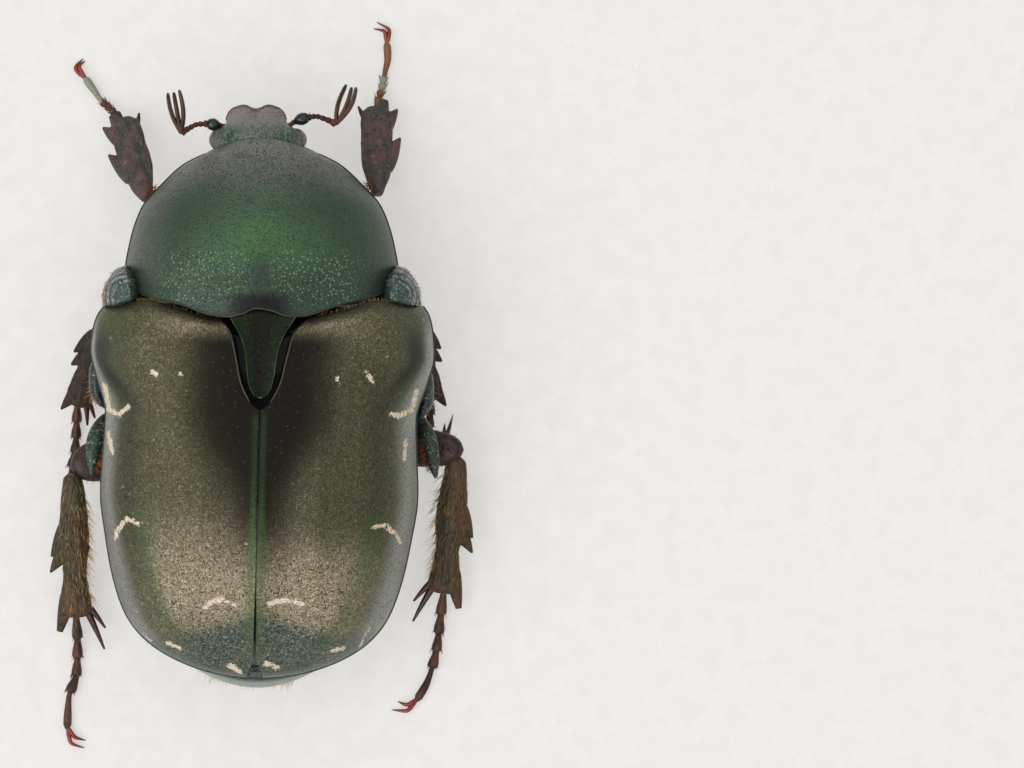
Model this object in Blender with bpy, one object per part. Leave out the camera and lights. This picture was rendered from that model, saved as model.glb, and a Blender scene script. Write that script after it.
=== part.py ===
"""A flower chafer beetle at life size, standing on its six feet.

Sizes are in millimetres and MM turns them into metres when a mesh is made. The head looks
along -Y, +X is the beetle's left and the floor is z = 0. The body is built symmetrical about
x = 0, and its rear half is then turned a little about the scutellum, as the insect holds it.
"""

import math

import bpy
import bmesh
import numpy as np

MM = 0.001

# Rear body: elytra and what they cover, turned together about the scutellum.
REAR_PIVOT = (0.0, 0.5, 0.0)
REAR_TURN = math.radians(-1.4)
SHELL = 0.5
SUTURE_HALF_GAP = 0.075

# Elytra, base to apex: y, half-width of the pair, height of the disc, height of the side edge.
ELYTRA = [
    (-2.94, 6.00, 7.75, 4.70),
    (-2.60, 6.24, 7.86, 4.45),
    (-2.00, 6.40, 7.98, 4.25),
    (-1.20, 6.46, 8.12, 4.15),
    (-0.10, 6.20, 8.26, 4.35),
    (1.20, 5.84, 8.36, 4.55),
    (2.60, 5.90, 8.40, 4.35),
    (4.10, 5.97, 8.33, 4.10),
    (5.85, 5.74, 8.05, 3.95),
    (7.40, 5.42, 7.55, 3.85),
    (8.75, 4.92, 6.88, 3.80),
    (9.65, 4.20, 6.25, 3.85),
    (10.35, 3.12, 5.50, 3.95),
    (10.80, 1.90, 4.95, 4.08),
    (10.98, 0.95, 4.68, 4.18),
    (11.03, 0.35, 4.58, 4.24),
]
ELYTRA_FLATNESS = 0.85
ELYTRA_EDGE_ANGLE = math.radians(88)
# Half-width of the slot between the elytra that holds the scutellum, by y.
SLOT = [
    (-3.30, 2.35),
    (-2.53, 2.13),
    (-0.94, 0.97),
    (0.08, 0.74),
    (0.60, 0.42),
    (0.90, SUTURE_HALF_GAP),
]

# Prothorax, front to base: y at the top, at the side and below, half-width and height of the
# dome, height of the side edge, half-width and depth of the underside.
PROTHORAX = [
    (-9.30, -8.75, -8.80, 2.08, 4.98, 3.45, 1.98, 2.80),
    (-8.85, -8.30, -8.40, 2.95, 5.72, 3.48, 2.85, 2.88),
    (-8.10, -7.60, -7.70, 3.72, 6.42, 3.50, 3.60, 2.95),
    (-7.00, -6.70, -6.80, 4.50, 7.08, 3.55, 4.36, 3.00),
    (-5.70, -5.40, -5.70, 4.95, 7.54, 3.60, 4.80, 3.02),
    (-4.30, -4.30, -5.00, 5.13, 7.78, 3.66, 4.94, 3.05),
    (-2.52, -3.66, -4.45, 5.05, 7.84, 3.80, 4.85, 3.15),
]
PROTHORAX_FLATNESS = 0.80
BASE_NOTCH = (0.36, 0.95)  # depth and half-width of the hollow in front of the scutellum
HEAD_SOCKET_DEPTH = 1.75

# Head, back to front, in the same columns.
HEAD_SHIFT = 0.14
HEAD = [
    (-8.75, -8.75, -8.75, 1.42, 4.50, 3.75, 1.30, 2.98),
    (-9.20, -9.20, -9.10, 1.66, 4.74, 3.80, 1.50, 2.74),
    (-9.55, -9.50, -9.40, 1.58, 4.60, 3.72, 1.40, 2.62),
    (-9.88, -9.82, -9.75, 1.32, 4.28, 3.60, 1.22, 2.62),
    (-10.15, -10.02, -10.00, 1.16, 3.95, 3.46, 1.06, 2.72),
    (-10.38, -10.20, -10.22, 1.05, 3.68, 3.35, 0.95, 2.90),
    (-10.52, -10.32, -10.40, 0.90, 3.50, 3.30, 0.80, 3.06),
]
CLYPEUS_NOTCH = (0.16, 0.22)
EYE_CENTRE = (1.42, -9.30, 3.96)
EYE_RADII = (0.42, 0.42, 0.50)
EYE_CLEARANCE = 0.12
# Feelers beside the mouth, and the chin plate below it.
PALP = [(0.55, -9.75, 2.75), (0.85, -10.05, 2.45), (0.95, -10.30, 2.50)]
PALP_SECTIONS = [(0, 0.20, 0.20), (0.5, 0.21, 0.21), (0.9, 0.24, 0.22), (1.0, 0.12, 0.12)]
CHIN = [(0, -9.20, 2.75), (0, -9.70, 2.52), (0, -10.02, 2.66)]
CHIN_SECTIONS = [(0, 0.45, 0.20), (0.5, 0.60, 0.24), (0.9, 0.50, 0.20), (1.0, 0.30, 0.12)]

# Hind thorax, front to back, in the same columns.
THORAX = [
    (-2.50, -3.00, -4.20, 4.60, 6.60, 4.00, 4.70, 3.20),
    (-2.20, -2.60, -3.60, 5.20, 6.95, 3.75, 5.20, 2.98),
    (-1.95, -2.10, -2.95, 5.40, 7.05, 3.60, 5.55, 2.92),
    (-1.85, -1.90, -2.72, 5.45, 7.10, 3.58, 5.70, 1.05),
    (-1.20, -1.20, -2.00, 5.50, 7.22, 3.60, 5.95, 0.75),
    (-0.40, -0.30, -0.90, 5.30, 7.38, 3.85, 6.22, 0.65),
    (0.30, 0.30, 0.10, 5.05, 7.45, 4.00, 6.28, 0.80),
    (0.50, 0.55, 0.30, 4.98, 7.46, 4.02, 6.18, 2.20),
    (1.25, 1.15, 1.20, 4.92, 7.48, 4.02, 5.70, 2.30),
]
# Knob between the middle legs, seen from below: y, half-width, half-thickness.
STERNAL_KNOB = [
    (-2.40, 0.34, 0.30),
    (-3.10, 0.27, 0.26),
    (-3.40, 0.48, 0.26),
    (-3.75, 0.64, 0.27),
    (-4.05, 0.50, 0.22),
    (-4.22, 0.24, 0.12),
]
STERNAL_KNOB_HEIGHT = 1.15

# Abdomen: y, half-width and height of the covered top, height of the side edge, half-width and
# depth of the belly. The belly is stepped where one plate ends and the next begins.
ABDOMEN = [
    (1.45, 5.02, 7.50, 4.05, 5.28, 2.28),
    (3.08, 5.08, 7.55, 3.90, 5.44, 2.28),
    (3.28, 5.10, 7.54, 3.86, 5.48, 1.30),
    (4.85, 5.08, 7.38, 3.74, 5.40, 1.08),
    (6.32, 4.84, 7.05, 3.64, 5.12, 1.14),
    (7.89, 4.44, 6.48, 3.58, 4.70, 1.45),
    (8.85, 3.92, 5.85, 3.58, 4.15, 1.78),
    (9.74, 3.00, 5.10, 3.58, 3.20, 2.12),
    (10.25, 2.05, 4.45, 3.56, 2.20, 2.45),
    (10.50, 1.40, 4.10, 3.52, 1.50, 2.75),
]
STERNITE_ENDS = (3.28, 4.85, 6.32, 7.89, 9.74)
STERNITE_STEP = 0.13

# Pygidium, top to bottom: z, y of its middle, half-width, how far its sides lie ahead.
PYGIDIUM = [
    (3.88, 11.02, 2.70, 0.78),
    (3.62, 11.30, 2.82, 0.95),
    (3.25, 11.43, 2.60, 0.95),
    (2.80, 11.36, 2.00, 0.75),
    (2.45, 11.10, 1.20, 0.40),
]
PYGIDIUM_THICKNESS = 0.45

# Scutellum: y, half-width, height.
SCUTELLUM = [
    (-2.44, 1.02, 7.80),
    (-1.80, 0.85, 7.94),
    (-1.10, 0.62, 8.04),
    (-0.35, 0.44, 8.12),
    (0.22, 0.28, 8.16),
    (0.50, 0.10, 8.16),
]
SCUTELLUM_THICKNESS = 0.55

# Shoulder piece between pronotum and elytron: outline in plan, and by height the shares of it
# that are left across and along, measured from its inner corner.
SHOULDER_OUTLINE = [
    (5.34, -4.46),
    (5.68, -4.24),
    (5.96, -3.80),
    (6.10, -3.34),
    (6.12, -3.10),
    (5.60, -3.26),
    (4.98, -3.32),
    (5.24, -3.70),
]
SHOULDER_CORNER = (4.98, -3.32)
SHOULDER_LEVELS = [
    (3.40, 0.70, 0.70),
    (3.75, 0.97, 0.95),
    (4.70, 1.00, 1.00),
    (5.40, 0.82, 0.95),
    (6.00, 0.55, 0.80),
    (6.35, 0.25, 0.50),
]

# Antenna: root, middle of the first joint, the thin joints up to the club, and the tips of the
# three leaves of the club.
SCAPE_RADIUS = 0.27
SCAPE_SECTIONS = [
    (0, 0.14, 0.14),
    (0.35, 0.25, 0.25),
    (0.55, SCAPE_RADIUS, SCAPE_RADIUS),
    (0.8, 0.20, 0.20),
    (1.0, 0.15, 0.15),
]
FUNICLE_RADIUS = 0.19
LEAF_HALF_WIDTH = 0.24
LEAF_HALF_THICKNESS = 0.13
ANTENNAE = {
    "left": {
        "root": (1.72, -9.84, 3.62),
        "scape": (2.06, -9.93, 3.66),
        "funicle": [
            (2.12, -9.92, 3.68),
            (2.42, -9.86, 3.72),
            (2.72, -9.68, 3.76),
            (3.02, -9.52, 3.80),
        ],
        "tips": [(3.55, -11.02, 3.30), (3.32, -11.05, 3.86), (3.10, -11.12, 4.42)],
    },
    "right": {
        "root": (-1.38, -9.90, 3.62),
        "scape": (-1.48, -10.08, 3.66),
        "funicle": [
            (-1.55, -10.08, 3.68),
            (-1.90, -10.14, 3.72),
            (-2.34, -10.03, 3.76),
            (-2.70, -9.82, 3.80),
        ],
        "tips": [(-3.19, -11.34, 3.30), (-3.40, -11.21, 3.86), (-3.57, -11.18, 4.42)],
    },
}

# Legs: middle lines of the coxa and the femur, the tibia's tip, the middle line of the foot, and
# for each of its two claws the point that it bends through and its tip.
KNEE_REACH = 0.58  # from the femur's end point to the tibia's
ANKLE_GAP = 0.18
ANKLE_DROP = 0.14
FOOT_HEIGHT = 0.21
# Ends of a foot's joints as shares of its length, and the sections of each joint and claw.
FOOT_SHARES = (0, 0.19, 0.36, 0.52, 0.67, 1.0)
FOOT_SECTIONS = [(0.0, 0.19), (0.55, 0.23), (0.88, 0.265)]
FOOT_END_RADIUS = 0.18
CLAW_SECTIONS = [
    (0, 0.15, 0.15),
    (0.3, 0.16, 0.16),
    (0.55, 0.14, 0.14),
    (0.8, 0.10, 0.10),
    (1.0, 0.04, 0.04),
]
CLAW_TIP_HEIGHT = 0.09
LEGS = {
    "front_left": {
        "coxa": [(0.70, -5.90, 2.52), (2.00, -6.02, 2.50), (3.20, -6.16, 2.60)],
        "femur": [(0.95, -6.86, 1.80), (2.60, -6.98, 1.90), (3.85, -6.72, 2.30)],
        "ankle": (5.30, -10.05, 0.86),
        "foot": [(5.82, -10.50, 0.36), (6.12, -10.78, 0.21), (6.42, -11.20, 0.21), (6.76, -11.68, 0.21)],
        "claws": [[(7.06, -11.98), (6.93, -12.38)], [(6.96, -12.06), (6.74, -12.30)]],
    },
    "front_right": {
        "coxa": [(-0.70, -5.90, 2.52), (-2.00, -6.02, 2.50), (-3.20, -6.16, 2.60)],
        "femur": [(-0.95, -6.86, 1.80), (-2.60, -7.02, 1.90), (-3.90, -6.84, 2.30)],
        "ankle": (-4.30, -10.50, 0.86),
        "foot": [
            (-4.50, -11.20, 0.36),
            (-4.62, -11.80, 0.21),
            (-4.74, -12.42, 0.21),
            (-4.70, -13.02, 0.21),
        ],
        "claws": [[(-4.80, -13.42), (-4.32, -13.77)], [(-4.62, -13.40), (-4.20, -13.52)]],
    },
    "middle_left": {
        "coxa": [(0.88, -3.62, 2.44), (1.90, -3.62, 2.42), (2.90, -3.58, 2.50)],
        "femur": [(1.12, -3.62, 1.55), (3.40, -3.56, 1.72), (5.42, -2.98, 2.42)],
        "ankle": (7.02, 0.72, 0.86),
        "foot": [(7.06, 1.50, 0.36), (7.10, 2.30, 0.21), (7.26, 3.25, 0.21), (7.46, 4.30, 0.21)],
        "claws": [[(7.70, 4.80), (7.50, 5.22)], [(7.48, 4.80), (7.22, 5.10)]],
    },
    "middle_right": {
        "coxa": [(-0.88, -3.62, 2.44), (-1.90, -3.62, 2.42), (-2.90, -3.58, 2.50)],
        "femur": [(-1.12, -3.62, 1.55), (-3.30, -3.66, 1.72), (-5.26, -3.24, 2.42)],
        "ankle": (-6.36, 0.52, 0.86),
        "foot": [(-6.32, 1.40, 0.36), (-6.22, 2.20, 0.21), (-6.56, 2.72, 0.21), (-6.96, 2.20, 0.21)],
        "claws": [[(-7.06, 1.66), (-7.20, 1.08)], [(-6.84, 1.66), (-6.76, 1.20)]],
    },
    "hind_left": {
        "coxa": [
            (0.55, 0.98, 1.45),
            (2.50, 0.92, 1.58),
            (4.30, 0.98, 1.98),
            (5.60, 1.34, 2.62),
            (6.28, 2.14, 3.20),
            (6.56, 3.10, 3.42),
        ],
        "femur": [(1.00, 2.10, 1.38), (3.90, 2.36, 1.70), (6.64, 2.94, 2.28)],
        "ankle": (7.07, 8.74, 0.86),
        "foot": [(7.02, 9.80, 0.36), (7.06, 10.90, 0.21), (7.36, 11.90, 0.21), (7.42, 13.05, 0.21)],
        "claws": [[(7.28, 13.55), (6.77, 13.77)], [(7.12, 13.35), (6.72, 13.48)]],
    },
    "hind_right": {
        "coxa": [
            (-0.55, 0.98, 1.45),
            (-2.50, 0.92, 1.58),
            (-4.30, 0.98, 1.98),
            (-5.60, 1.34, 2.62),
            (-6.28, 2.10, 3.20),
            (-6.46, 3.02, 3.42),
        ],
        "femur": [(-1.00, 2.12, 1.38), (-3.90, 2.28, 1.70), (-6.72, 2.34, 2.28)],
        "ankle": (-6.86, 7.84, 0.86),
        "foot": [(-6.72, 8.95, 0.36), (-6.60, 9.95, 0.21), (-6.26, 11.20, 0.21), (-5.82, 11.98, 0.21)],
        "claws": [[(-5.42, 12.36), (-4.89, 12.32)], [(-5.46, 12.12), (-5.12, 12.00)]],
    },
}

# Sections along each kind of limb: fraction of its length, half-width, half-thickness.
COXA_SECTIONS = {
    "front": [(0, 0.22, 0.18), (0.12, 0.42, 0.32), (0.5, 0.46, 0.36), (0.88, 0.40, 0.30), (1, 0.20, 0.16)],
    "middle": [(0, 0.22, 0.14), (0.12, 0.40, 0.22), (0.5, 0.44, 0.25), (0.88, 0.38, 0.22), (1, 0.18, 0.12)],
    "hind": [
        (0, 0.24, 0.20),
        (0.05, 0.42, 0.34),
        (0.2, 0.44, 0.36),
        (0.4, 0.44, 0.33),
        (0.6, 0.44, 0.28),
        (0.78, 0.42, 0.25),
        (0.9, 0.34, 0.22),
        (1, 0.12, 0.12),
    ],
}
FEMUR_SECTIONS = {
    "front": [
        (0.0, 0.22, 0.20),
        (0.08, 0.40, 0.36),
        (0.35, 0.52, 0.42),
        (0.65, 0.54, 0.42),
        (0.88, 0.46, 0.38),
        (1.0, 0.38, 0.36),
        (1.08, 0.22, 0.20),
    ],
    "middle": [
        (0.0, 0.20, 0.18),
        (0.07, 0.36, 0.32),
        (0.35, 0.52, 0.42),
        (0.65, 0.54, 0.43),
        (0.90, 0.46, 0.38),
        (1.0, 0.38, 0.35),
        (1.06, 0.22, 0.20),
    ],
    "hind": [
        (0.0, 0.22, 0.20),
        (0.06, 0.42, 0.34),
        (0.35, 0.66, 0.42),
        (0.62, 0.74, 0.43),
        (0.85, 0.66, 0.40),
        (0.97, 0.46, 0.36),
        (1.04, 0.24, 0.20),
    ],
}
TIBIA_SECTIONS = {
    "front": [
        (0.0, 0.17, 0.17),
        (0.04, 0.25, 0.25),
        (0.20, 0.38, 0.26),
        (0.45, 0.52, 0.27),
        (0.75, 0.58, 0.27),
        (0.93, 0.56, 0.27),
        (1.0, 0.36, 0.22),
    ],
    "middle": [
        (0.0, 0.17, 0.17),
        (0.04, 0.25, 0.25),
        (0.20, 0.33, 0.27),
        (0.50, 0.40, 0.29),
        (0.60, 0.37, 0.28),
        (0.85, 0.44, 0.29),
        (0.97, 0.46, 0.28),
        (1.0, 0.34, 0.24),
    ],
    "hind": [
        (0.0, 0.17, 0.17),
        (0.03, 0.27, 0.27),
        (0.20, 0.40, 0.29),
        (0.48, 0.50, 0.31),
        (0.62, 0.47, 0.31),
        (0.70, 0.42, 0.30),
        (0.88, 0.56, 0.32),
        (0.97, 0.62, 0.32),
        (1.0, 0.42, 0.26),
    ],
}
# Teeth, lobes and spurs of a tibia: root and tip as (fraction of its length, distance outward),
# then the half-width of the root. None reaches lower than the heights here.
SPINE_ROOT_HEIGHT = 0.42
SPINE_TIP_HEIGHT = 0.22
TIBIA_SPINES = {
    "front": [
        ((0.52, 0.30), (0.63, 0.90), 0.26),
        ((0.84, 0.30), (0.95, 0.86), 0.26),
        ((0.91, 0.34), (1.05, 0.62), 0.20),
        ((0.86, -0.38), (1.01, -0.68), 0.16),
    ],
    "middle": [
        ((0.34, 0.18), (0.45, 0.74), 0.18),
        ((0.48, 0.15), (0.60, 0.70), 0.18),
        ((0.90, 0.25), (1.10, 0.64), 0.20),
        ((0.93, -0.26), (1.18, -0.62), 0.14),
        ((0.91, -0.28), (1.08, -0.86), 0.13),
    ],
    "hind": [
        ((0.46, 0.25), (0.56, 0.90), 0.22),
        ((0.56, 0.22), (0.67, 0.96), 0.22),
        ((0.90, 0.34), (1.11, 0.62), 0.24),
        ((0.94, -0.34), (1.23, -0.90), 0.17),
        ((0.92, -0.42), (1.09, -1.10), 0.16),
    ],
}
COLOURS = {
    "pronotum": ((0.020, 0.075, 0.040), 0.38),
    "elytra": ((0.085, 0.075, 0.040), 0.42),
    "underside": ((0.012, 0.040, 0.026), 0.30),
    "shoulder": ((0.035, 0.060, 0.058), 0.45),
    "head": ((0.055, 0.060, 0.050), 0.50),
    "eye": ((0.045, 0.040, 0.042), 0.25),
    "leg": ((0.040, 0.030, 0.028), 0.45),
    "foot": ((0.060, 0.026, 0.020), 0.45),
    "antenna": ((0.090, 0.035, 0.022), 0.45),
}


def curve(table, at):
    """Rows at the first column's values `at`, on a smooth curve that never overshoots the table."""
    table, at = np.asarray(table, float), np.asarray(at, float)
    x, v = table[:, 0], table[:, 1:]
    secant = np.diff(v, axis=0) / np.diff(x)[:, None]
    before, after = secant[:-1], secant[1:]
    turning = before * after <= 0
    middle = np.where(turning, 0, 2 * before * after / np.where(turning, 1, before + after))
    slope = np.vstack([secant[:1], middle, secant[-1:]])
    i = np.clip(np.searchsorted(x, at, side="right") - 1, 0, len(x) - 2)
    step = (x[i + 1] - x[i])[:, None]
    f = (at - x[i])[:, None] / step
    return (
        (1 + 2 * f) * (1 - f) ** 2 * v[i]
        + f * (1 - f) ** 2 * step * slope[i]
        + f * f * (3 - 2 * f) * v[i + 1]
        + f * f * (f - 1) * step * slope[i + 1]
    )


def spline(points, count):
    """`count` points on a smooth curve through `points`."""
    points = np.asarray(points, float)
    numbered = np.column_stack([np.arange(len(points)), points])
    return curve(numbered, np.linspace(0, len(points) - 1, count))


def unit(vectors):
    vectors = np.asarray(vectors, float)
    return vectors / np.linalg.norm(vectors, axis=-1, keepdims=True)


def window(x, low, high, soft):
    """1 between low and high, falling to 0 over the distance soft outside them."""
    rise = np.clip((x - low) / soft + 1, 0, 1)
    fall = np.clip((high - x) / soft + 1, 0, 1)
    return (rise * rise * (3 - 2 * rise)) * (fall * fall * (3 - 2 * fall))


def loft(rings):
    """Closed body through rings of equal size, with a point in the middle of each end."""
    rings = np.asarray(rings, float)
    count, sides, _ = rings.shape
    points = np.vstack([rings.reshape(-1, 3), rings[0].mean(0), rings[-1].mean(0)])
    faces = []
    for i in range(count - 1):
        for j in range(sides):
            k = (j + 1) % sides
            faces.append((i * sides + j, i * sides + k, (i + 1) * sides + k, (i + 1) * sides + j))
    last = (count - 1) * sides
    for j in range(sides):
        k = (j + 1) % sides
        faces.append((len(points) - 2, k, j))
        faces.append((len(points) - 1, last + j, last + k))
    return points, faces


def trunk(rows, steps, flatness, bend=None, ledge=0.18, fullness=0.8):
    """Rings of a body segment: a dome over a belly that meet at a side edge."""
    angle = np.linspace(-math.pi / 2, math.pi / 2, steps + 1)
    across, lift = np.sin(angle), np.clip(np.cos(angle), 0, 1)
    rings = []
    for y_top, y_side, y_low, half_top, top, edge, half_low, low in rows:
        x = half_top * across
        y = y_side + (y_top - y_side) * lift**2
        if bend:
            y = y + bend(x, y_top)
        dome = np.column_stack([x, y, edge + (top - edge) * lift**flatness])
        under = edge - ledge
        belly = np.column_stack(
            [half_low * across, y_side + (y_low - y_side) * lift**2, under - (under - low) * lift**fullness]
        )
        rings.append(np.vstack([dome, belly[::-1]]))
    return np.array(rings)


def tube(path, half_widths, half_thicknesses, sides=8, up=(0, 0, 1)):
    """Rings of oval section along a path, kept above the floor."""
    path = np.asarray(path, float)
    ahead = unit(np.gradient(path, axis=0))
    side = unit(np.cross(ahead, np.asarray(up, float)))
    over = np.cross(side, ahead)
    turn = (np.arange(sides) + 0.5) * 2 * math.pi / sides
    across = np.cos(turn)[None, :, None] * np.asarray(half_widths, float)[:, None, None]
    lift = np.sin(turn)[None, :, None] * np.asarray(half_thicknesses, float)[:, None, None]
    rings = path[:, None, :] + across * side[:, None, :] + lift * over[:, None, :]
    rings[..., 2] = np.maximum(rings[..., 2], 0)
    return rings


def limb(points, sections, sides=8):
    """Closed oval tube along a smooth line through points, by (fraction, half-width, half-thickness)."""
    sections = np.asarray(sections, float)
    numbered = np.column_stack([np.linspace(0, 1, len(points)), points])
    inside = curve(numbered, np.clip(sections[:, 0], 0, 1))
    end = unit(np.subtract(points[-1], points[-2]))
    length = np.linalg.norm(np.subtract(points[-1], points[0]))
    beyond = np.clip(sections[:, :1] - 1, 0, None) * length * end
    return loft(tube(inside + beyond, sections[:, 1], sections[:, 2], sides))


def spine(root, tip, width, sides=5):
    """Closed taper from a root that is sunk in what it grows on to a thin tip."""
    path = np.array([root, np.add(np.multiply(root, 0.45), np.multiply(tip, 0.55)), tip])
    return loft(tube(path, (width, width * 0.62, 0.04), (width, width * 0.62, 0.04), sides))


def ball(centre, radii, across=8, around=12):
    latitude = np.linspace(0, math.pi, across + 1)[1:-1]
    longitude = np.arange(around) * 2 * math.pi / around
    rings = np.stack(
        [
            np.outer(np.sin(latitude), np.cos(longitude)),
            np.outer(np.sin(latitude), np.sin(longitude)),
            np.outer(np.cos(latitude), np.ones(around)),
        ],
        axis=-1,
    )
    points, faces = loft(rings * radii)
    points[-2:, 2] = (radii[2], -radii[2])
    return points + centre, faces


def sheet(outer, inner):
    """Closed plate between two grids of points, split into like triangles on both sides."""
    rows, columns, _ = outer.shape
    points = np.vstack([outer.reshape(-1, 3), inner.reshape(-1, 3)])
    back = rows * columns
    faces = []
    for i in range(rows - 1):
        for j in range(columns - 1):
            a, b = i * columns + j, i * columns + j + 1
            c, d = b + columns, a + columns
            faces += [(a, b, c), (a, c, d), (back + a, back + c, back + b), (back + a, back + d, back + c)]
    rim = (
        [j for j in range(columns)]
        + [i * columns + columns - 1 for i in range(1, rows)]
        + [(rows - 1) * columns + j for j in range(columns - 2, -1, -1)]
        + [i * columns for i in range(rows - 2, 0, -1)]
    )
    for a, b in zip(rim, rim[1:] + rim[:1]):
        faces += [(b, a, back + a), (b, back + a, back + b)]
    return points, faces


def material(name):
    found = bpy.data.materials.get(name)
    if found:
        return found
    colour, roughness = COLOURS[name]
    made = bpy.data.materials.new(name)
    made.use_nodes = True
    shader = made.node_tree.nodes["Principled BSDF"]
    shader.inputs["Base Color"].default_value = (*colour, 1)
    shader.inputs["Roughness"].default_value = roughness
    shader.inputs["Metallic"].default_value = 0.4
    return made


def raw_object(name, piece):
    """Object in millimetres from (points, faces), with its faces pointing out."""
    mesh = bpy.data.meshes.new(name)
    mesh.from_pydata([tuple(p) for p in piece[0]], [], piece[1])
    shape = bmesh.new()
    shape.from_mesh(mesh)
    bmesh.ops.triangulate(shape, faces=shape.faces)
    bmesh.ops.recalc_face_normals(shape, faces=shape.faces)
    if shape.calc_volume(signed=True) < 0:
        bmesh.ops.reverse_faces(shape, faces=shape.faces)
    shape.to_mesh(mesh)
    shape.free()
    made = bpy.data.objects.new(name, mesh)
    bpy.context.scene.collection.objects.link(made)
    return made


def combine(body, others, operation):
    """Applies one Boolean of a collection of closed pieces to body and removes them."""
    group = bpy.data.collections.new("pieces")
    bpy.context.scene.collection.children.link(group)
    for other in others:
        bpy.context.scene.collection.objects.unlink(other)
        group.objects.link(other)
    step = body.modifiers.new("join", "BOOLEAN")
    step.operation = operation
    step.operand_type = "COLLECTION"
    step.collection = group
    step.solver = "EXACT"
    graph = bpy.context.evaluated_depsgraph_get()
    joined = bpy.data.meshes.new_from_object(body.evaluated_get(graph))
    body.modifiers.remove(step)
    body.data = joined
    for other in others:
        bpy.data.objects.remove(other)
    bpy.data.collections.remove(group)
    keep_largest(body.data)


def keep_largest(mesh):
    """Leaves only the closed surface that holds the most."""
    shape = bmesh.new()
    shape.from_mesh(mesh)
    left = set(shape.faces)
    surfaces = []
    while left:
        found = [left.pop()]
        for face in found:
            for edge in face.edges:
                for near in edge.link_faces:
                    if near in left:
                        left.remove(near)
                        found.append(near)
        volume = sum(
            face.calc_center_median().dot(face.normal) * face.calc_area() / 3 for face in found
        )
        surfaces.append((volume, found))
    surfaces.sort(key=lambda entry: entry[0])
    scraps = [face for _, found in surfaces[:-1] for face in found]
    bmesh.ops.delete(shape, geom=scraps, context="FACES")
    shape.to_mesh(mesh)
    shape.free()


def node(name, pieces, finish, anchor, parent, cut=()):
    """Named object made of joined pieces, less `cut`, with its origin at anchor."""
    objects = [raw_object(f"{name}_{n}" if n else name, piece) for n, piece in enumerate(pieces)]
    body = objects[0]
    if len(objects) > 1:
        combine(body, objects[1:], "UNION")
    if cut:
        combine(body, [raw_object(f"{name}_cut_{n}", piece) for n, piece in enumerate(cut)], "DIFFERENCE")
    mesh = body.data
    points = np.empty(len(mesh.vertices) * 3)
    mesh.vertices.foreach_get("co", points)
    local = (points.reshape(-1, 3) - np.asarray(anchor, float)) * MM
    mesh.vertices.foreach_set("co", local.ravel())
    mesh.update()
    mesh.shade_smooth()
    mesh.set_sharp_from_angle(angle=math.radians(40))
    mesh.materials.clear()
    mesh.materials.append(material(finish))
    body.location = [value * MM for value in np.subtract(anchor, parent["origin_mm"])]
    body.parent = parent
    return body


def empty(name, origin, parent=None, turn=0.0):
    made = bpy.data.objects.new(name, None)
    made.empty_display_size = 2 * MM
    made["origin_mm"] = origin
    made.location = [value * MM for value in origin]
    made.rotation_euler = (0, 0, turn)
    made.parent = parent
    bpy.context.scene.collection.objects.link(made)
    return made


def mirrored(points, side):
    return np.asarray(points, float) * (side, 1, 1)


def elytra_relief(x, y):
    """Height added to an elytron: shoulder and tail bumps, hollow beside the suture, two ribs."""
    shoulder = 0.22 * np.exp(-(((x - 4.9) / 0.8) ** 2) - ((y + 1.7) / 0.9) ** 2)
    tail = 0.20 * np.exp(-(((x - 3.0) / 0.8) ** 2) - ((y - 9.1) / 0.7) ** 2)
    hollow = -0.20 * np.exp(-(((x - 1.2) / 0.7) ** 2)) * window(y, 4.0, 8.6, 2.5)
    ribs = 0.05 * (np.exp(-(((x - 2.3) / 0.25) ** 2)) + np.exp(-(((x - 3.9) / 0.3) ** 2)))
    return shoulder + tail + hollow + ribs * window(y, 1.0, 7.5, 2.0)


def base_line(x):
    """How far behind its row the elytron's front edge lies, so that it follows the pronotum."""
    return 0.72 * np.exp(-(((x - 1.7) / 1.2) ** 2)) + 0.26 * np.clip((x - 3.4) / 2.6, 0, 1)


def elytron(side):
    rows = spline(ELYTRA, 27)
    share = np.linspace(0, 1, 12)
    outer = np.empty((len(rows), len(share), 3))
    for i, (y, half, top, edge) in enumerate(rows):
        inner = np.interp(y, *np.transpose(SLOT))
        start = math.asin(min(inner / half, 0.9))
        angle = start + (ELYTRA_EDGE_ANGLE - start) * share
        x = half * np.sin(angle)
        z = edge + (top - edge) * np.cos(angle) ** ELYTRA_FLATNESS
        behind = base_line(x) * window(y, -9, ELYTRA[0][0], 1.6)
        outer[i] = np.column_stack([x, y + behind, z + elytra_relief(x, y)])
    normal = unit(np.cross(np.gradient(outer, axis=1), np.gradient(outer, axis=0)))
    normal *= np.sign(normal[..., 2].mean())
    inner = outer - SHELL * normal
    inner[..., 0] = np.maximum(inner[..., 0], SUTURE_HALF_GAP)
    return sheet(mirrored(outer, side), mirrored(inner, side))


def prothorax():
    depth, half = BASE_NOTCH

    def bend(x, y_top):
        return -depth * np.exp(-((x / half) ** 2)) * window(y_top, -2.6, 0, 1.2)

    rows = spline(PROTHORAX, 17)
    points, faces = loft(trunk(rows, 18, PROTHORAX_FLATNESS, bend))
    points[-2, 1] += HEAD_SOCKET_DEPTH
    return points, faces


def head():
    depth, half = CLYPEUS_NOTCH

    def bend(x, y_top):
        return depth * np.exp(-((x / half) ** 2)) * window(y_top, -11, -10.3, 0.25)

    shell = loft(trunk(spline(HEAD, 13), 12, 0.8, bend, ledge=0.1))
    pieces = [shell]
    for side in (1, -1):
        pieces.append(limb(mirrored(PALP, side), PALP_SECTIONS, 6))
    pieces.append(limb(CHIN, CHIN_SECTIONS, 8))
    return [(points + (HEAD_SHIFT, 0, 0), faces) for points, faces in pieces]


def eye_centre(side):
    x, y, z = EYE_CENTRE
    return (HEAD_SHIFT + side * x, y, z)


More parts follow.
